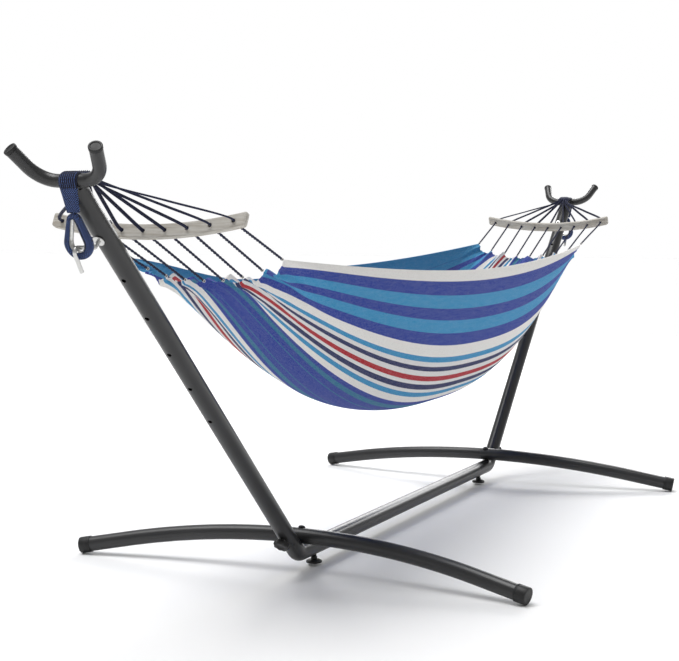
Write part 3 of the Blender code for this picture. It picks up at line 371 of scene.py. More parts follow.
COAT, PLASTIC, ZINC, WOOD = powder_coat(), black_plastic(), zinc(), pale_wood()
CORD, BAND, COTTON, YARN = navy_cord(), woven_band(), striped_cotton(), white_yarn()
SLOTS = {COAT: "powder_coat", PLASTIC: "black_plastic", ZINC: "zinc_plate", WOOD: "pale_wood",
         CORD: "navy_rope", BAND: "navy_rope", COTTON: "striped_cotton", YARN: "striped_cotton"}


# ---- mesh helpers -----------------------------------------------------------------
CREASE, TURNED_CREASE, RIM_EASE = 40, 50, 0.0004
MAIN_SIDES, TUBE_SIDES, SMALL_SIDES = 56, 48, 24


def closed_mesh(name, verts, faces):
    """A mesh whose faces all look outwards."""
    mesh = bpy.data.meshes.new(name)
    mesh.from_pydata([tuple(v) for v in verts], [], faces)
    shape = bmesh.new()
    shape.from_mesh(mesh)
    bmesh.ops.recalc_face_normals(shape, faces=shape.faces)
    shape.to_mesh(mesh)
    shape.free()
    return mesh


def make(name, shape, finish, body, nodes=(), crease=CREASE, values=None):
    """A piece in world places that rides on a body and stands for these nodes."""
    mesh = closed_mesh(name, *shape)
    for key, numbers in (values or {}).items():
        layer = mesh.attributes.new(key, "FLOAT", "POINT")
        layer.data.foreach_set("value", numbers)
    mesh.shade_smooth()
    if crease:
        mesh.set_sharp_from_angle(angle=radians(crease))
    mesh.materials.append(finish)
    piece = put(name, mesh)
    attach(piece, body)
    if nodes:
        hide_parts(*nodes)
    return piece


def turns(count):
    """The angles that divide a full turn into equal steps."""
    return [TURN * step / count for step in range(count)]


def around(first, second, angle):
    return cos(angle) * first + sin(angle) * second


def ring(centre, first, second, radius, sides):
    return [centre + radius * around(first, second, angle) for angle in turns(sides)]


def level_pair(tangent):
    """Two directions square to a line, the first of them as level as it can be."""
    first = (ACROSS - ACROSS.dot(tangent) * tangent).normalized()
    return first, tangent.cross(first)


def across_axis(axis):
    first = axis.orthogonal().normalized()
    return first, axis.cross(first)


def oblong(angle, power):
    """A point of a unit circle drawn out towards a square, by a power below one."""
    return [copysign(abs(part) ** power, part) for part in (cos(angle), sin(angle))]


def skin(rings, closed=False):
    sides, count = len(rings[0]), len(rings)
    verts = [point for one in rings for point in one]
    faces = []
    for row in range(count if closed else count - 1):
        here, there = row * sides, ((row + 1) % count) * sides
        for step in range(sides):
            after = (step + 1) % sides
            faces.append((here + step, here + after, there + after, there + step))
    return verts, faces


def solid(rings):
    verts, faces = skin(rings)
    sides = len(rings[0])
    faces.append(tuple(range(sides)))
    faces.append(tuple(range(len(verts) - sides, len(verts))))
    return verts, faces


def several(groups):
    """One mesh from several (verts, faces) groups whose faces count from their own start."""
    verts, faces = [], []
    for more, quads in groups:
        start = len(verts)
        verts += more
        faces += [tuple(start + index for index in face) for face in quads]
    return verts, faces


def sweep(stations, normal, sides):
    return [ring(point, normal.cross(tangent).normalized(), normal, radius, sides)
            for point, tangent, radius in stations]


def eased(path, radius, ease):
    """The path's (place, tangent, radius) stations, with a small chamfer at each end."""
    (first, leaving), (last, arriving) = path[0], path[-1]
    return [(first, leaving, radius - ease), (first + ease * leaving, leaving, radius),
            *((place, tangent, radius) for place, tangent in path[1:-1]),
            (last - ease * arriving, arriving, radius), (last, arriving, radius - ease)]


def tube(name, path, normal, outer, wall, sides, nodes):
    """Open-ended painted tube with slightly eased rims."""
    outside = sweep(eased(path, outer, RIM_EASE), normal, sides)
    inside = sweep([(place, tangent, outer - wall) for place, tangent in path], normal, sides)
    return make(name, skin(outside + inside[::-1], closed=True), COAT, "stand", nodes)


def turned(name, profile, origin, axis, sides, finish, body, nodes, hollow=False):
    rings = [ring(origin + height * axis, *across_axis(axis), radius, sides)
             for radius, height in profile]
    shape = skin(rings, closed=True) if hollow else solid(rings)
    make(name, shape, finish, body, nodes, crease=TURNED_CREASE)


def drill(piece, holes):
    """Cut round holes (centre, axis, radius, length) and keep the result as plain mesh."""
    groups = [solid([ring(centre + reach * axis, *across_axis(axis), radius, SMALL_SIDES)
                     for reach in (-length / 2, length / 2)])
              for centre, axis, radius, length in holes]
    mesh = closed_mesh("cutter", *several(groups))
    cutter = put("cutter", mesh)
    cut = piece.modifiers.new("holes", "BOOLEAN")
    cut.operation, cut.solver, cut.object = "DIFFERENCE", "EXACT", cutter
    settled = piece.evaluated_get(bpy.context.evaluated_depsgraph_get())
    done = bpy.data.meshes.new_from_object(settled)
    piece.modifiers.clear()
    old = piece.data
    piece.data = done
    done.set_sharp_from_angle(angle=radians(CREASE))
    bpy.data.meshes.remove(old)
    bpy.data.objects.remove(cutter, do_unlink=True)
    bpy.data.meshes.remove(mesh)


def arc(centre, start, sweep_angle, normal, steps):
    stations = []
    arm = start - centre
    for step in range(steps + 1):
        here = Matrix.Rotation(sweep_angle * step / steps, 3, normal) @ arm
        tangent = (normal * copysign(1, sweep_angle)).cross(here).normalized()
        stations.append((centre + here, tangent))
    return stations


def spaced(start, stop, steps):
    return [start + (stop - start) * step / steps for step in range(steps + 1)]


def travelled(points):
    """How far along their line each of these points is."""
    lengths = [0.0]
    for here, after in zip(points, points[1:]):
        lengths.append(lengths[-1] + (after - here).length)
    return lengths


def smooth_line(points, spacing):
    """Points close together on a rounded curve through these ones."""
    dense = []
    last = len(points) - 1
    for index in range(last):
        a, b = points[max(index - 1, 0)], points[index]
        c, d = points[index + 1], points[min(index + 2, last)]
        # centripetal spacing keeps the curve from looping where points crowd together
        t1, t2, t3 = (max(gap.length, 1e-6) ** 0.5 for gap in (b - a, c - b, d - c))
        leave = arrive = c - b
        if index:
            leave = ((b - a) / t1 - (c - a) / (t1 + t2) + (c - b) / t2) * t2
        if index + 1 < last:
            arrive = ((c - b) / t2 - (d - b) / (t2 + t3) + (d - c) / t3) * t2
        steps = max(2, int((c - b).length / spacing))
        for step in range(steps):
            t = step / steps
            h1, h2 = 2 * t ** 3 - 3 * t ** 2 + 1, t ** 3 - 2 * t ** 2 + t
            h3, h4 = -2 * t ** 3 + 3 * t ** 2, t ** 3 - t ** 2
            dense.append(h1 * b + h2 * leave + h3 * c + h4 * arrive)
    dense.append(points[-1])
    return dense


# ---- places on one end ------------------------------------------------------------
class End:
    def __init__(self, name):
        self.name = name
        self.side = -1 if name == "left" else 1
        self.out = Vector((self.side, 0, 0))
        run, rise = cos(UPRIGHT_ANGLE), sin(UPRIGHT_ANGLE)
        self.up_tube = run * self.out + rise * UP
        self.off_tube = rise * self.out - run * UP
        self.turn = self.side * ACROSS
        self.corner = BASE_HALF * self.out + SPINE_HEIGHT * UP
        self.horn = self.corner + UPRIGHT_LENGTH * self.up_tube
        self.leg = (BASE_HALF - LEG_IN) * self.out + LEG_HEIGHT * UP
        self.clamp = self.corner + CLAMP_UP * self.up_tube
        self.foot = (BASE_HALF - FOOT_INSET) * self.out
        self.cord_line = self.cord_direction()
        self.wide = self.cord_line.cross(ACROSS) * self.side
        self.band = self.band_path(8)
        low, self.eye_down = self.band[-1]
        self.eye_out = self.turn.cross(-self.eye_down).normalized()
        throat_radius = EYE_THROAT + THIMBLE_WALL + GAP + ROPE_AT_THROAT
        self.throat = (low + BAND_THICKNESS / 2 * self.eye_out
                       + (GAP + throat_radius) * self.eye_down)

    def make(self, word, shape, finish, body, node=None, **how):
        nodes = [f"{self.name}_{node}"] if node else []
        return make(f"{self.name}_{word}", shape, finish, body, nodes, **how)

    def tube(self, word, path, *how, node):
        return tube(f"{self.name}_{word}", path, *how, [f"{self.name}_{node}"])

    def turned(self, word, profile, *how, node, hollow=False):
        turned(f"{self.name}_{word}", profile, *how, [f"{self.name}_{node}"], hollow)

    def height_hole(self, number):
        return self.horn - (HOLE_FIRST + number * HOLE_PITCH) * self.up_tube

    def cord_direction(self):
        wrap = HORN_RADIUS + GAP + BAND_THICKNESS / 2
        to_horn = self.horn - (BAR_FROM_MIDDLE * self.out + BAR_HEIGHT * UP)
        slope = atan2(to_horn.dot(UP), to_horn.dot(self.out))
        slope += asin(wrap / to_horn.length)
        return cos(slope) * self.out + sin(slope) * UP

    def band_path(self, steps):
        wrap = HORN_RADIUS + GAP
        along = self.cord_line
        down = -sin(HANG_ANGLE) * self.out - cos(HANG_ANGLE) * UP
        start_normal = self.turn.cross(-along).normalized()
        turn = acos(max(-1.0, min(1.0, along.dot(down))))
        first = self.horn + wrap * start_normal
        lift = BAND_ROOT_LIFT * start_normal
        path = [(first - BAND_ROOT_LENGTH * along + lift, along),
                (first - BAND_ROOT_LENGTH / 2 * along + lift * LIFT_MIDWAY, along)]
        path += arc(self.horn, first, turn, self.turn, steps)
        last = path[-1][0]
        path += [(last + share * HANG_LENGTH * down, down) for share in (0.5, 1.0)]
        return path

    def bar_station(self, across):
        share = across / (BAR_HOLE_SPREAD / 2)
        middle = BAR_FROM_MIDDLE * self.out + BAR_HEIGHT * UP
        return middle + across * ACROSS + BAR_BOW * share * share * self.wide

    def cord_route(self, number):
        """The same places as the plain cord: root, bar hole, cloth edge."""
        share = number / (CORD_COUNT - 1) - 0.5
        root, along = self.band[0]
        middle = root + BAND_ROOT_THICKNESS / 2 * self.wide
        layer = ROOT_LAYER * (1 if number % 2 else -1)
        start = middle - ROOT_LENGTH / 2 * along + share * ROOT_SPREAD * ACROSS + layer * self.wide
        leave = start - ROOT_LENGTH * along
        hole = self.bar_station(share * BAR_HOLE_SPREAD)
        reach = BAR_THICKNESS / 2 + CORD_STRAIGHT
        above, below = hole + reach * along, hole - reach * along
        across = share * BED_SPREAD
        rise = (edge_height(BED_HALF) - KEEL_END) * abs(2 * share) ** SECTION_POWER
        finish = ((BED_HALF + CLOTH_THICKNESS) * self.out + across * ACROSS
                  + (KEEL_END + rise) * UP)
        return [start, leave, leave.lerp(above, 0.5), above, hole, below,
                below.lerp(finish, 0.5), finish]


# ---- the bed's surface ------------------------------------------------------------
BACK_SLACK = 0.030           # how far the back edge sags on the near half


def edge_half(x):
    return BED_SPREAD / 2 + BED_BULGE * (1 - min(abs(x) / BED_HALF, 1.0) ** EDGE_BULGE_POWER)


def edge_height(x):
    return EDGE_HEIGHT + EDGE_RISE * min(abs(x) / BED_HALF, 1.0) ** EDGE_RISE_POWER


def keel_height(x):
    share = min(abs(x) / BED_HALF, 1.0)
    return KEEL_END - BED_DEPTH * (1 - share ** KEEL_POWER) ** KEEL_FULLNESS


def section_across(share):
    """Where a share of the way round the section, -1 to 1, lies across it."""
    return copysign(abs(sin(share * pi / 2)) ** (2 / SECTION_POWER), share)


def bed_point(x, share):
    depth = abs(cos(share * pi / 2)) ** (2 / SECTION_POWER)
    height = edge_height(x) - (edge_height(x) - keel_height(x)) * depth
    if x < 0 < share:
        height -= BACK_SLACK * sin(pi * min(-x / BED_HALF, 1.0)) ** 2 * share ** 3
    return Vector((x, edge_half(x) * section_across(share), height))


ENDS = [End("left"), End("right")]


# ---- cords, the first pieces to be made -------------------------------------------
STRAND_RADIUS, STRAND_APART, STRAND_SIDES = 0.0019, 0.00185, 8
TWIST_PITCH, TWIST_TIGHTENS, CORD_PHASE, CORD_STEP = 0.024, 0.38, 0.35, 0.0022
LAZY_TURN, LAZY_RATE = 0.5, 9      # how the strands wander above the bar


def strand_groups(line, bar_at, phase):
    """Two strands round one line: side by side above the bar, tightly twisted below it."""
    groups = []
    last = len(line) - 1
    for strand in (0, pi):
        rings = []
        for index, (point, length) in enumerate(zip(line, travelled(line))):
            tangent = (line[min(index + 1, last)] - line[max(index - 1, 0)]).normalized()
            first, second = level_pair(tangent)
            past = max(0.0, length - bar_at) / TWIST_PITCH
            angle = phase + strand + LAZY_TURN * sin(LAZY_RATE * length) + TURN * past
            apart = STRAND_APART * (1 - TWIST_TIGHTENS * min(1.0, past))
            centre = point + apart * around(first, second, angle)
            rings.append(ring(centre, first, second, STRAND_RADIUS, STRAND_SIDES))
        groups.append(solid(rings))
    return groups


BAR_STOP = 4                # the bar hole's place in a cord's route


def make_cords(end):
    for number in range(CORD_COUNT):
        route = end.cord_route(number)
        line = smooth_line(route, CORD_STEP)
        hole = route[BAR_STOP]
        bar_at = 0.0
        for a, b in zip(line, line[1:]):
            if (b - hole).length >= (a - hole).length:
                break
            bar_at += (b - a).length
        shape = several(strand_groups(line, bar_at, CORD_PHASE * number))
        piece = end.make(f"cord_{number + 1}", shape, CORD, "hammock", "cords", crease=0)


ROOT_SIDES, ROOT_POWER, ROOT_YARNS, ROOT_FLUTE = 72, 0.6, 18, 0.05
# how far behind the band's end each section of the root is, and how full it is
ROOT_BACKS = ((0.0004, 0.93), (0.002, 1.0), (0.006, 1.0), (0.010, 1.0), (0.014, 1.0),
              (0.0165, 0.93))


def make_root(end):
    """Bound root where the cords of one end leave the band: a bundle of long yarns."""
    root, along = end.band[0]
    middle = root + BAND_ROOT_THICKNESS / 2 * end.wide
    half, height = BAND_WIDTH / 2 - 0.0005, BAND_ROOT_THICKNESS / 2 - 0.0003
    rings = []
    for back, taper in ROOT_BACKS:
        points = []
        for angle in turns(ROOT_SIDES):
            a, b = oblong(angle, ROOT_POWER)
            ripple = taper * (1 - ROOT_FLUTE * (0.5 + 0.5 * cos(ROOT_YARNS * angle)))
            point = (middle - back * along + a * half * ripple * ACROSS
                     + b * height * ripple * end.wide)
            if back == ROOT_BACKS[0][0]:
                reach = root.dot(end.out) - GAP - 0.0001
                point += (reach - point.dot(end.out)) / along.dot(end.out) * along
            points.append(point)
        rings.append(points)
    end.make("root_wrap", solid(rings), CORD, "hammock", "cords", crease=0)


for end in ENDS:
    make_cords(end)
    make_root(end)


# ---- woven band, eye loop, thimble and hook ---------------------------------------
BUNDLES, POINTS_PER_BUNDLE, BAND_STEPS, BAND_STEP = 9, 8, 22, 0.003
NARROWS_FROM, NARROWS_POWER = HANG_LENGTH * 0.9, 0.8
PLAITED_FROM, PLAIT_BLEND, LOOSE_WEAVE = HANG_LENGTH * 0.86, 0.004, 0.15
LOOSE_GROOVE, PLAITED_GROOVE, GROOVE_POWER, EDGE_POWER, EDGE_LEAST = 0.26, 0.06, 0.6, 8, 0.3


def make_band(end):
    """Nine flat yarn bundles side by side over the horn, plaited flat where they hang."""
    path = end.band_path(BAND_STEPS)
    dense = []
    for (p, t), (q, u) in zip(path, path[1:]):
        steps = max(1, int((q - p).length / BAND_STEP))
        for step in range(steps):
            share = step / steps
            dense.append((p.lerp(q, share), t.lerp(u, share).normalized()))
    dense.append(path[-1])
    lengths = travelled([place for place, _ in dense])
    rings, along_values, across_values, weave_values = [], [], [], []
    for (point, tangent), done in zip(dense, lengths):
        outer = end.turn.cross(-tangent).normalized()
        rest = lengths[-1] - done
        thick = BAND_THICKNESS
        if done < BAND_ROOT_LENGTH:
            thick += (BAND_ROOT_THICKNESS - BAND_THICKNESS) * (1 - done / BAND_ROOT_LENGTH)
        half = BAND_WIDTH / 2
        if rest < NARROWS_FROM:
            half -= (BAND_WIDTH - HANG_WIDTH) / 2 * (1 - rest / NARROWS_FROM) ** NARROWS_POWER
        woven = min(1.0, max(0.0, (PLAITED_FROM - rest) / PLAIT_BLEND))
        deep = LOOSE_GROOVE * (1 - woven) + PLAITED_GROOVE * woven
        points = []
        for share in spaced(0, 1, BUNDLES * POINTS_PER_BUNDLE):
            groove = abs(sin(pi * BUNDLES * share)) ** GROOVE_POWER
            edge = 1 - (2 * share - 1) ** EDGE_POWER
            lift = thick * edge * (1 - deep * (1 - groove))
            points.append(((2 * share - 1) * half, max(lift, thick * EDGE_LEAST)))
        points += [(half, 0.0), (0.0, 0.0), (-half, 0.0)]
        ring_points = [point + a * ACROSS + h * outer for a, h in points]
        if not rings:
            reach = point.dot(end.out)
            ring_points = [p + (reach - p.dot(end.out)) / tangent.dot(end.out) * tangent
                           for p in ring_points]
        rings.append(ring_points)
        along_values += [done] * len(points)
        across_values += [a for a, _ in points]
        weave_values += [LOOSE_WEAVE + (1 - LOOSE_WEAVE) * woven] * len(points)
    end.make("woven_band", solid(rings), BAND, "stand", "band", crease=0,
             values={"along": along_values, "across": across_values, "weave": weave_values})


def teardrop(round_radius, throat_radius):
    """(x, y, unit outward x, y) round an eye; the throat's centre is at 0, 0."""
    lean = asin((round_radius - throat_radius) / EYE_CENTRE)
    outline = []
    for centre, radius, start, turn, steps in (
            (EYE_CENTRE, round_radius, -lean, pi + 2 * lean, EYE_STEPS),
            (0, throat_radius, pi + lean, pi - 2 * lean, THROAT_STEPS)):
        for angle in spaced(start, start + turn, steps):
            x, y = cos(angle), sin(angle)
            outline.append((radius * x, centre + radius * y, x, y))
    # the straight sides get points of their own, so that the weave runs along them evenly
    dense = []
    for here, after in zip(outline, outline[1:] + outline[:1]):
        steps = max(1, int(dist(here[:2], after[:2]) / EYE_STEP))
        for step in range(steps):
            x, y, out_x, out_y = (a + (b - a) * step / steps for a, b in zip(here, after))
            length = hypot(out_x, out_y)
            dense.append((x, y, out_x / length, out_y / length))
    return dense


ROPE_SIDES, ROPE_POWER, ROPE_ROUND = 28, 0.75, 0.048
PLAIT_DEPTH, PLAIT_PITCH, PLAIT_LEAN = 0.035, 0.005, 5


def make_eye(end):
    """Plaited rope round the thimble; its section is a rounded oblong, thinner at the throat."""
    def place(across, down, out):
        return end.throat + across * ACROSS + down * end.eye_down + out * end.eye_out

    seat = THIMBLE_WALL + GAP
    outline = teardrop(EYE_OPENING / 2 + seat, EYE_THROAT + seat)
    lengths = travelled([Vector((x, y)) for x, y, _, _ in outline])
    rings, along_values, across_values = [], [], []
    for (x, y, out_x, out_y), done in zip(outline, lengths):
        share = min(1.0, max(0.0, y / EYE_CENTRE))
        thick = ROPE_AT_THROAT + (ROPE - ROPE_AT_THROAT) * share
        points = []
        for angle in turns(ROPE_SIDES):
            a, b = oblong(angle, ROPE_POWER)
            out_by = thick / 2 + a * thick / 2
            plait = 1 + PLAIT_DEPTH * sin(TURN * done / PLAIT_PITCH + PLAIT_LEAN * angle)
            points.append(place(x + out_x * out_by, y + out_y * out_by,
                                b * ROPE / 2 * min(plait, 1.0)))
            along_values.append(done)
            across_values.append(angle / TURN * ROPE_ROUND)
        rings.append(points)
    end.make("eye_rope", skin(rings, closed=True), BAND, "stand", "eye_loop", crease=0,
             values={"along": along_values, "across": across_values,
                     "weave": [1.0] * len(along_values)})
    # thimble: a channel with two rolled lips
    half = THIMBLE_DEPTH / 2
    lip = [(0.0, half * 0.55), (0.0006, half * 0.85), (0.0011, half), (THIMBLE_WALL, half * 0.93)]
    profile = [*lip, (THIMBLE_WALL, 0.0), *((out, -up) for out, up in lip[::-1]), (0.0, 0.0)]
    rings = [[place(x + out_x * r, y + out_y * r, h) for r, h in profile]
             for x, y, out_x, out_y in teardrop(EYE_OPENING / 2, EYE_THROAT)]
    end.make("bright_thimble", skin(rings, closed=True), ZINC, "stand", "thimble")


def fillet_path(corners, radius, steps):
    stations = [(corners[0], (corners[1] - corners[0]).normalized())]
    for before, corner, after in zip(corners, corners[1:], corners[2:]):
        arrive, leave = (corner - before).normalized(), (after - corner).normalized()
        turn = arrive.angle(leave)
        normal = arrive.cross(leave).normalized()
        start = corner - radius * tan(turn / 2) * arrive
        stations += arc(start + radius * normal.cross(arrive), start, turn, normal, steps)
    stations.append((corners[-1], (corners[-1] - corners[-2]).normalized()))
    return stations


def make_hook(end):
    hole = end.height_hole(0)
    rod = HOOK_RADIUS
    start = hole - (MAIN_RADIUS + GAP + HOOK_BEHIND) * end.off_tube
    first_bend = hole + (MAIN_RADIUS + HOOK_STRAIGHT) * end.off_tube
    low = end.throat + (EYE_CENTRE + EYE_OPENING / 2 - rod - HOOK_EASE) * end.eye_down
    lean = (low - first_bend).angle(end.eye_out)
    rise = THIMBLE_DEPTH / 2 * tan(lean) + rod * (1 / cos(lean) - 1)
    in_eye = low - rise * end.eye_down
    second_bend = in_eye + HOOK_REACH * (in_eye - first_bend).normalized()
    tail = in_eye + HOOK_TAIL * end.eye_down + rod * 2 * end.eye_out
    path = fillet_path([start, first_bend, second_bend, tail], HOOK_BEND, 10)
    shape = solid(sweep(eased(path, rod, 2 * RIM_EASE), ACROSS, SMALL_SIDES))
    end.make("bent_hook", shape, ZINC, "stand", "hook")
    disc = hole + (MAIN_RADIUS + GAP) * end.off_tube
    bore, edge, thick = rod + GAP, DISC_RADIUS, DISC_THICKNESS
    end.turned("round_disc",
               [(bore, 0), (edge - 0.0004, 0), (edge, 0.0004), (edge, thick - 0.0005),
                (edge - 0.0005, thick), (bore, thick)],
               disc, end.off_tube, TUBE_SIDES, ZINC, "stand", node="hook_disc", hollow=True)


# ---- spreader bars ----------------------------------------------------------------
BAR_POWER, BAR_SIDES, BAR_ROUND, BAR_TIP_WIDE, BAR_TIP_THICK = 0.32, 40, 0.006, 0.72, 0.55
BAR_TIP_STEPS = (0, 0.0008, 0.0025, 0.0055)


def make_bar(end):
    half = BAR_LENGTH / 2
    tips = [-half + step for step in BAR_TIP_STEPS]
    corners = [oblong(angle, BAR_POWER) for angle in turns(BAR_SIDES)]
    rings = []
    for across in (*tips, *spaced(-half + 0.009, half - 0.009, 44), *(-tip for tip in tips[::-1])):
        centre = end.bar_station(across)
        rounded = min(half - abs(across), BAR_ROUND) / BAR_ROUND
        share = sqrt(max(0.0, 1 - (1 - rounded) ** 2))
        wide = BAR_WIDTH / 2 * (BAR_TIP_WIDE + (1 - BAR_TIP_WIDE) * share)
        thick = BAR_THICKNESS / 2 * (BAR_TIP_THICK + (1 - BAR_TIP_THICK) * share)
        rings.append([centre + a * wide * end.wide + b * thick * end.cord_line for a, b in corners])
    bar = end.make("wood_bar", solid(rings), WOOD, "hammock", "spreader_bar")
    holes = []
    for number in range(CORD_COUNT):
        across = (number / (CORD_COUNT - 1) - 0.5) * BAR_HOLE_SPREAD
        holes.append((end.bar_station(across), end.cord_line, BAR_HOLE_RADIUS, 3 * BAR_THICKNESS))
    drill(bar, holes)


# ---- stand ------------------------------------------------------------------------
def leg_station(end, across):
    """The place and tangent of the leg: an arch with a straight run at each end."""
    radius = LEG_ARCH_HALF / sin(LEG_END_ANGLE)
    reach = min(abs(across), LEG_ARCH_HALF)
    here = asin(reach / radius)
    drop = radius * (1 - cos(here)) + (abs(across) - reach) * tan(LEG_END_ANGLE)
    lean = copysign(here, across)
    return (end.leg + across * ACROSS + drop * end.off_tube,
            cos(lean) * ACROSS + sin(lean) * end.off_tube)


def leg_end_angle():
    """The arch's end slope that sets the caps' rims on the floor, by halving."""
    low, high = 0.01, 1.2
    for _ in range(60):
        middle = (low + high) / 2
        radius = LEG_ARCH_HALF / sin(middle)
        drop = radius * (1 - cos(middle)) + (LEG_SPAN / 2 - LEG_ARCH_HALF) * tan(middle)
        slope = sin(middle) * cos(UPRIGHT_ANGLE)
        if drop * cos(UPRIGHT_ANGLE) < LEG_HEIGHT - CAP_RADIUS * sqrt(1 - slope * slope):
            low = middle
        else:
            high = middle
    return middle


LEG_END_ANGLE = leg_end_angle()


def make_legs(end):
    half = LEG_SPAN / 2 - CAP_FLOOR
    for word, start, stop in (("front", -half, LEG_SEAM), ("back", LEG_SEAM + GAP, half)):
        end.tube(f"{word}_leg_tube", [leg_station(end, y) for y in spaced(start, stop, 40)],
                 end.up_tube, LEG_RADIUS, MAIN_WALL, TUBE_SIDES, node=f"{word}_leg")
    for word, sign in (("front", -1), ("back", 1)):
        tip, tangent = leg_station(end, sign * LEG_SPAN / 2)
        outwards = sign * tangent
        first, second = end.up_tube, end.up_tube.cross(outwards)
        # a dished end, and a groove round the mouth; each step is in from the rim and up the cap
        steps = [(0.0075, 0.0006), (0.0068, 0), (0.0016, 0), (0.0005, 0.0005), (0, 0.0016)]
        steps += [(depth, CAP_LENGTH - up) for depth, up in (
            (0, 0.0062), (0.0006, 0.0058), (0.0006, 0.0050), (0, 0.0046), (0, 0.0008), (0.0006, 0))]
        inside = CAP_RADIUS - LEG_RADIUS - GAP / 2
        steps += [(inside, CAP_LENGTH), (inside, CAP_FLOOR)]
        rings = [ring(tip - up * outwards, first, second, CAP_RADIUS - depth, TUBE_SIDES)
                 for depth, up in steps]
        end.make(f"{word}_leg_shoe", solid(rings), PLASTIC, "stand", f"{word}_leg_cap")


BEAD_STEPS, BEAD_SIDES, BEAD_RADIUS, BEAD_UNEVEN, BEAD_RATE = 40, 10, 0.0022, 0.0003, 2.1


def make_frame_tubes(end):
    inner = BASE_HALF - SPINE_SEAM
    low = SPINE_HEIGHT * UP
    path = [(inner * end.out + low, end.out)]
    path += arc(end.leg, end.leg - LEG_SEAT * UP, -UPRIGHT_ANGLE, end.turn, 20)
    path += [(end.corner + (UPRIGHT_SEAM - GAP) * end.up_tube, end.up_tube)]
    elbow = end.tube("elbow_tube", path, ACROSS, MAIN_RADIUS, ELBOW_WALL, MAIN_SIDES,
                     node="elbow")
    wall = end.foot + (SPINE_HEIGHT - MAIN_RADIUS) * UP
    drill(elbow, [(wall, UP, FOOT_HOLE_RADIUS, FOOT_HOLE_CUT)])
    foot = end.corner + UPRIGHT_SEAM * end.up_tube
    top = end.horn - (HORN_RADIUS + GAP) * end.up_tube
    upright = end.tube("upright_tube", [(foot, end.up_tube), (top, end.up_tube)], ACROSS,
                       MAIN_RADIUS, MAIN_WALL, MAIN_SIDES, node="upright")
    holes = [(end.height_hole(number), end.off_tube, HOLE_RADIUS, 4 * MAIN_RADIUS)
             for number in range(HOLE_COUNT)]
    drill(upright, holes)
    path = []
    for sign in (-1, 1):
        corner = end.horn + sign * HORN_BAR_HALF * ACROSS
        stations = arc(corner + HORN_BEND_RADIUS * end.up_tube, corner, sign * HORN_BEND,
                       ACROSS.cross(end.up_tube), 22)
        tip, tangent = stations[-1]
        stations.append((tip + HORN_TIP * tangent, tangent))
        if sign < 0:
            stations = [(point, -tangent) for point, tangent in stations[::-1]]
        path += stations
    end.tube("horn_tube", path, end.off_tube, HORN_RADIUS, MAIN_WALL, TUBE_SIDES, node="horn")
    insert, rim = HORN_RADIUS - MAIN_WALL - GAP, HORN_RADIUS + 0.0008
    for word, (tip, tangent) in (("front", path[0]), ("back", path[-1])):
        outwards = tangent if word == "back" else -tangent
        profile = [(insert - 0.002, -0.018), (insert, -0.016), (insert, GAP), (rim - 0.0003, GAP),
                   (rim, GAP + 0.0003), (rim, 0.0056), (rim - 0.0004, 0.0065),
                   (rim - 0.0012, 0.007), (insert - 0.001, 0.007), (insert - 0.0016, 0.0066),
                   (insert - 0.002, 0.0058)]
        first, second = end.off_tube, end.off_tube.cross(outwards)
        rings = [ring(tip + height * outwards, first, second, radius, TUBE_SIDES)
                 for radius, height in profile]
        end.make(f"{word}_plug_head", solid(rings), PLASTIC, "stand", f"{word}_horn_plug")


def make_weld(end):
    """Bead where the upright meets the horn, a little uneven along its run."""
    outline = []
    for angle in turns(BEAD_STEPS):
        a, b = cos(angle) * MAIN_RADIUS, sin(angle) * MAIN_RADIUS
        drop = HORN_RADIUS if abs(a) >= HORN_RADIUS else sqrt(HORN_RADIUS ** 2 - a * a)
        outline.append(end.horn + a * end.off_tube + b * ACROSS - drop * end.up_tube)
    rings = []
    for step, point in enumerate(outline):
        tangent = (outline[(step + 1) % BEAD_STEPS] - outline[step - 1]).normalized()
        first = end.up_tube.cross(tangent).normalized()
        radius = BEAD_RADIUS + BEAD_UNEVEN * sin(step * BEAD_RATE)
        rings.append(ring(point, first, tangent.cross(first), radius, BEAD_SIDES))
    end.make("weld_bead", skin(rings, closed=True), COAT, "stand", crease=0)


def make_leg_bolt(end):
    half = UPRIGHT_ANGLE / 2
    axis = sin(half) * end.out - cos(half) * UP
    top = end.leg - (LEG_RADIUS + GAP) * axis
    profile = [(0.0004, -BOLT_DOME)]
    profile += [(BOLT_HEAD * sin(angle), -BOLT_DOME * cos(angle))
                for angle in spaced(0, pi / 2, 12)[1:]]
    profile += [(BOLT_HEAD, 0.0), (BOLT_RADIUS, 0.0), (BOLT_RADIUS, BOLT_SHOWN)]
    end.turned("domed_bolt", profile, top, axis, BAR_SIDES, PLASTIC, "stand",
               node="leg_bolt")


# shares of the knob's radius and height, from the tube out, and whether the lobes show there
KNOB_LEVELS = ((0.70, 0.0, 0), (0.72, 0.2, 0), (0.94, 0.22, 1), (0.985, 0.27, 1), (1.0, 0.36, 1),
               (1.0, 0.80, 1), (0.985, 0.90, 1), (0.93, 0.97, 1), (0.84, 1.0, 1), (0.50, 1.0, 0),
               (0.46, 0.96, 0), (0.10, 0.95, 0))


def make_knob(end):
    axis = end.off_tube
    seat = end.clamp + (MAIN_RADIUS + GAP + CLAMP_WASHER + GAP) * axis
    first, second = across_axis(axis)
    rings = []
    for share, level, fluted in KNOB_LEVELS:
        points = []
        for angle in turns(2 * TUBE_SIDES):
            flute = fluted * KNOB_FLUTE * (0.5 - 0.5 * cos(KNOB_LOBES * angle))
            points.append(seat + level * KNOB_HEIGHT * axis
                          + (share * KNOB_RADIUS - flute) * around(first, second, angle))
        rings.append(points)
    end.make("lobed_knob", solid(rings), PLASTIC, f"{end.name}_knob", "clamp_knob")


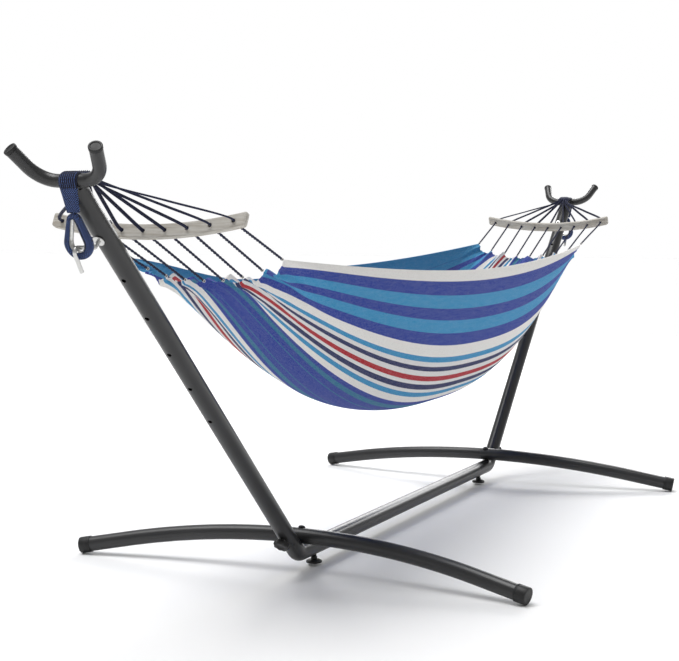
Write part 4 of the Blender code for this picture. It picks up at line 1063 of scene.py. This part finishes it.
def make_foot(end):
    top, edge, low = FOOT_LIFT + FOOT_PAD_HEIGHT, FOOT_PAD_RADIUS, FOOT_LIFT
    profile = [(0.0065, top - 0.002), (0.0065, top), (0.0125, top), (0.0145, top - 0.0004),
               (edge - 0.0012, top - 0.0026), (edge - 0.0003, top - 0.0036), (edge, top - 0.0048),
               (edge, low + 0.0012), (edge - 0.0004, low + 0.0003), (edge - 0.0012, low),
               (0.003, low), (0.003, low + 0.002)]
    end.turned("round_foot", profile, end.foot, UP, TUBE_SIDES, PLASTIC, f"{end.name}_pad",
               node="foot_pad", hollow=True)
    collar, thread = top + GAP, top + GAP + COLLAR_HEIGHT
    profile = [(STUD_RADIUS, low + 0.0035), (STUD_RADIUS, collar), (COLLAR_RADIUS - 0.0004, collar),
               (COLLAR_RADIUS, collar + 0.0005), (COLLAR_RADIUS, thread - 0.0006),
               (COLLAR_RADIUS - 0.0004, thread), (STUD_RADIUS, thread)]
    for step in range(STUD_TURNS):
        height = thread + THREAD_RISE + step * STUD_PITCH
        profile += [(STUD_RADIUS - THREAD_DEPTH, height), (STUD_RADIUS, height + THREAD_RISE)]
    end.turned("threaded_stud", profile, end.foot, UP, STUD_SIDES, PLASTIC, f"{end.name}_stud",
               node="foot_stud")


SPINE_REACH, ALONG = BASE_HALF - SPINE_SEAM - GAP, Vector((1, 0, 0))
SPINE = [(x * ALONG + SPINE_HEIGHT * UP, ALONG) for x in spaced(-SPINE_REACH, SPINE_REACH, 8)]
tube("spine_tube", SPINE, ACROSS, MAIN_RADIUS, MAIN_WALL, MAIN_SIDES, ["spine"])
for end in ENDS:
    make_band(end)
    make_eye(end)
    make_hook(end)
    make_bar(end)
    make_legs(end)
    make_frame_tubes(end)
    make_weld(end)
    make_leg_bolt(end)
    make_knob(end)
    make_foot(end)


# ---- the bed ----------------------------------------------------------------------
COLUMNS, ROWS = ((300, 144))
PEAKS = CORD_COUNT - 1
SHEET, HEM_TIMES = 0.0024, 1.5
SCALLOP, TEETH, SCALLOP_REACH = 0.009, 0.006, 0.035
NEAR_REACH, NEAR_RIPPLES = 0.085, ((0.0085, 2, 0.0), (0.0040, 4, 0.8), (0.0032, 8, 2.1))
FAR_REACH, FAR_RIPPLES = 0.30, ((0.0042, 9.4), (0.0036, 17.3), (0.0023, 31.0))
LEFT_SEED, RIGHT_SEED = 1.7, 4.1


def gather(x, share):
    """How the cloth's end folds: (pull inwards along X, ripple along the normal)."""
    from_end = BED_HALF - abs(x)
    # the place across the end edge, as a count of the spaces between cords
    cell = (section_across(share) + 1) / 2 * PEAKS
    trough = sin(pi * cell) ** 2
    teeth = abs(sin(3 * pi * cell + 0.4))
    scallop = (SCALLOP * trough + TEETH * teeth) * exp(-from_end / SCALLOP_REACH)
    near = exp(-from_end / NEAR_REACH)
    far = exp(-from_end / FAR_REACH)
    ripple = near * sum(size * cos(folds * pi * cell + phase)
                        for size, folds, phase in NEAR_RIPPLES)
    seed = LEFT_SEED if x < 0 else RIGHT_SEED
    ripple += far * sum(size * sin(folds * share + times * seed)
                        for times, (size, folds) in enumerate(FAR_RIPPLES, 1))
    inside = min(1.0, from_end / 0.02 + 0.35)
    edge = 1 - abs(share) ** 12
    return scallop, ripple * inside * edge


def bed_normal(x, share):
    step = 1e-4
    low, high = max(x - step, -BED_HALF), min(x + step, BED_HALF)
    left, right = max(share - step, -1.0), min(share + step, 1.0)
    along = bed_point(high, share) - bed_point(low, share)
    across = bed_point(x, right) - bed_point(x, left)
    return along.cross(across).normalized()


def make_bed():
    """One closed sheet: rows run across it and columns along it, with its stripes' values."""
    def closer_at_ends(steps, power):
        return [copysign(1 - (1 - abs(t)) ** power, t)
                for t in (2 * step / steps - 1 for step in range(steps + 1))]

    xs = [BED_HALF * share for share in closer_at_ends(COLUMNS, 1.35)]
    shares = closer_at_ends(ROWS, 1.15)
    surface, normals = [], []
    for x in xs:
        line, up = [], []
        for share in shares:
            scallop, ripple = gather(x, share)
            normal = bed_normal(x, share)
            moved = copysign(max(abs(x) - scallop, 0), x) if x else 0
            line.append(bed_point(moved, share) + ripple * normal)
            up.append(normal)
        surface.append(line)
        normals.append(up)
    flat_along = [travelled(row) for row in zip(*surface)]
    verts, share_values, yarn_along = [], [], []
    wide = ROWS + 1
    for level in (SHEET / 2, -SHEET / 2):
        for column, line in enumerate(surface):
            lengths = travelled(line)
            for row, point in enumerate(line):
                hem = HEM_TIMES if row in (0, 1, wide - 2, wide - 1) else 1.0
                verts.append(point + level * hem * normals[column][row])
                share_values.append(lengths[row] / lengths[-1])
                yarn_along.append(flat_along[row][column])
    yarn_across = [share * FLAT_WIDTH for share in share_values]
    count = len(xs) * wide
    faces = []
    for column in range(len(xs) - 1):
        for row in range(wide - 1):
            a = column * wide + row
            b = a + wide
            faces.append((a, a + 1, b + 1, b))
            faces.append((count + a, count + b, count + b + 1, count + a + 1))
        for row in (0, wide - 1):
            a = column * wide + row
            b = a + wide
            faces.append((a, b, count + b, count + a))
    for column in (0, len(xs) - 1):
        for row in range(wide - 1):
            a = column * wide + row
            faces.append((a, a + 1, count + a + 1, count + a))
    cloth = make("striped_cloth", (verts, faces), COTTON, "hammock", ["bed_cloth"], crease=60,
                 values={"share": share_values, "yarn_across": yarn_across,
                         "yarn_along": yarn_along})


YARN_RADIUS, LOOP_TILT, LOOP_TURN = 0.0008, 0.001, 900
YARN_LOOPS = ((0.002, 0.0027), (0.0055, 0.0025))     # up the cord, and radius


def make_loops(end):
    """Short white yarn loops that join each cord to the cloth's end."""
    groups = []
    for number in range(CORD_COUNT):
        route = end.cord_route(number)
        finish, before = route[-1], route[-2]
        along = (before - finish).normalized()
        first, second = level_pair(along)
        for at, size in YARN_LOOPS:
            centre = finish + at * along
            rings = []
            for angle in turns(16):
                spoke = around(first, second, angle)
                place = centre + size * spoke + LOOP_TILT * sin(angle + at * LOOP_TURN) * along
                rings.append(ring(place, spoke, along, YARN_RADIUS, STRAND_SIDES))
            groups.append(skin(rings, closed=True))
    end.make("yarn_loops", several(groups), YARN, "hammock", crease=0)


make_bed()
for end in ENDS:
    make_loops(end)

# ---- finishes for the solids that stay as they are --------------------------------
FINISH = {SLOTS[finish]: finish for finish in (ZINC, PLASTIC, COAT, CORD, WOOD, COTTON)}
for part in frame["record"]["subparts"]:
    solid_piece = frame["nodes"][part["node"]]
    for place in solid_piece.material_slots:
        place.material = FINISH[part["material_slot"]]

# ---- floor and light --------------------------------------------------------------
FLOOR_REACH = 30
floor_mesh = bpy.data.meshes.new("floor")
floor_mesh.from_pydata([(x * FLOOR_REACH, y * FLOOR_REACH, 0)
                        for x, y in ((-1, -1), (1, -1), (1, 1), (-1, 1))], [], [(0, 1, 2, 3)])
floor_mesh.materials.append(Nodes("pale_floor", (0.90, 0.90, 0.90, 1), 0.75).made)
put("floor", floor_mesh)

world = bpy.data.worlds.new("studio")
world.use_nodes = True
nodes, link = world.node_tree.nodes, world.node_tree.links.new
# white behind the hammock and grey on the camera's side, as in a studio with one lit backdrop
sky = nodes["Background"]
toward = nodes.new("ShaderNodeTexCoord")
facing = nodes.new("ShaderNodeVectorMath")
facing.operation = "DOT_PRODUCT"
facing.inputs[1].default_value = (0.903, 0.430, 0.0)      # the way the camera looks
bright = nodes.new("ShaderNodeMapRange")
for socket, value in (("From Min", 0.70), ("From Max", 0.92), ("To Min", 0.42), ("To Max", 1.0)):
    bright.inputs[socket].default_value = value
link(toward.outputs["Generated"], facing.inputs[0])
link(facing.outputs["Value"], bright.inputs["Value"])
link(bright.outputs["Result"], sky.inputs["Strength"])
sky.inputs["Color"].default_value = (1, 1, 1, 1)
bpy.context.scene.world = world
bpy.context.scene.view_settings.view_transform = "Standard"
# a broad sun from above, and a low wide panel behind the far end for the tubes' bright edges
make_light("key", "SUN", (0.10, -0.28, -1.0), 2.25).angle = radians(42)
BACK_PLACE, BACK_TARGET = Vector((5.5, 0.5, 2.8)), Vector((0.2, 0, 0.1))
back = make_light("back", "AREA", BACK_TARGET - BACK_PLACE, 190, BACK_PLACE)
back.shape = "RECTANGLE"
back.size, back.size_y = 5.0, 1.6
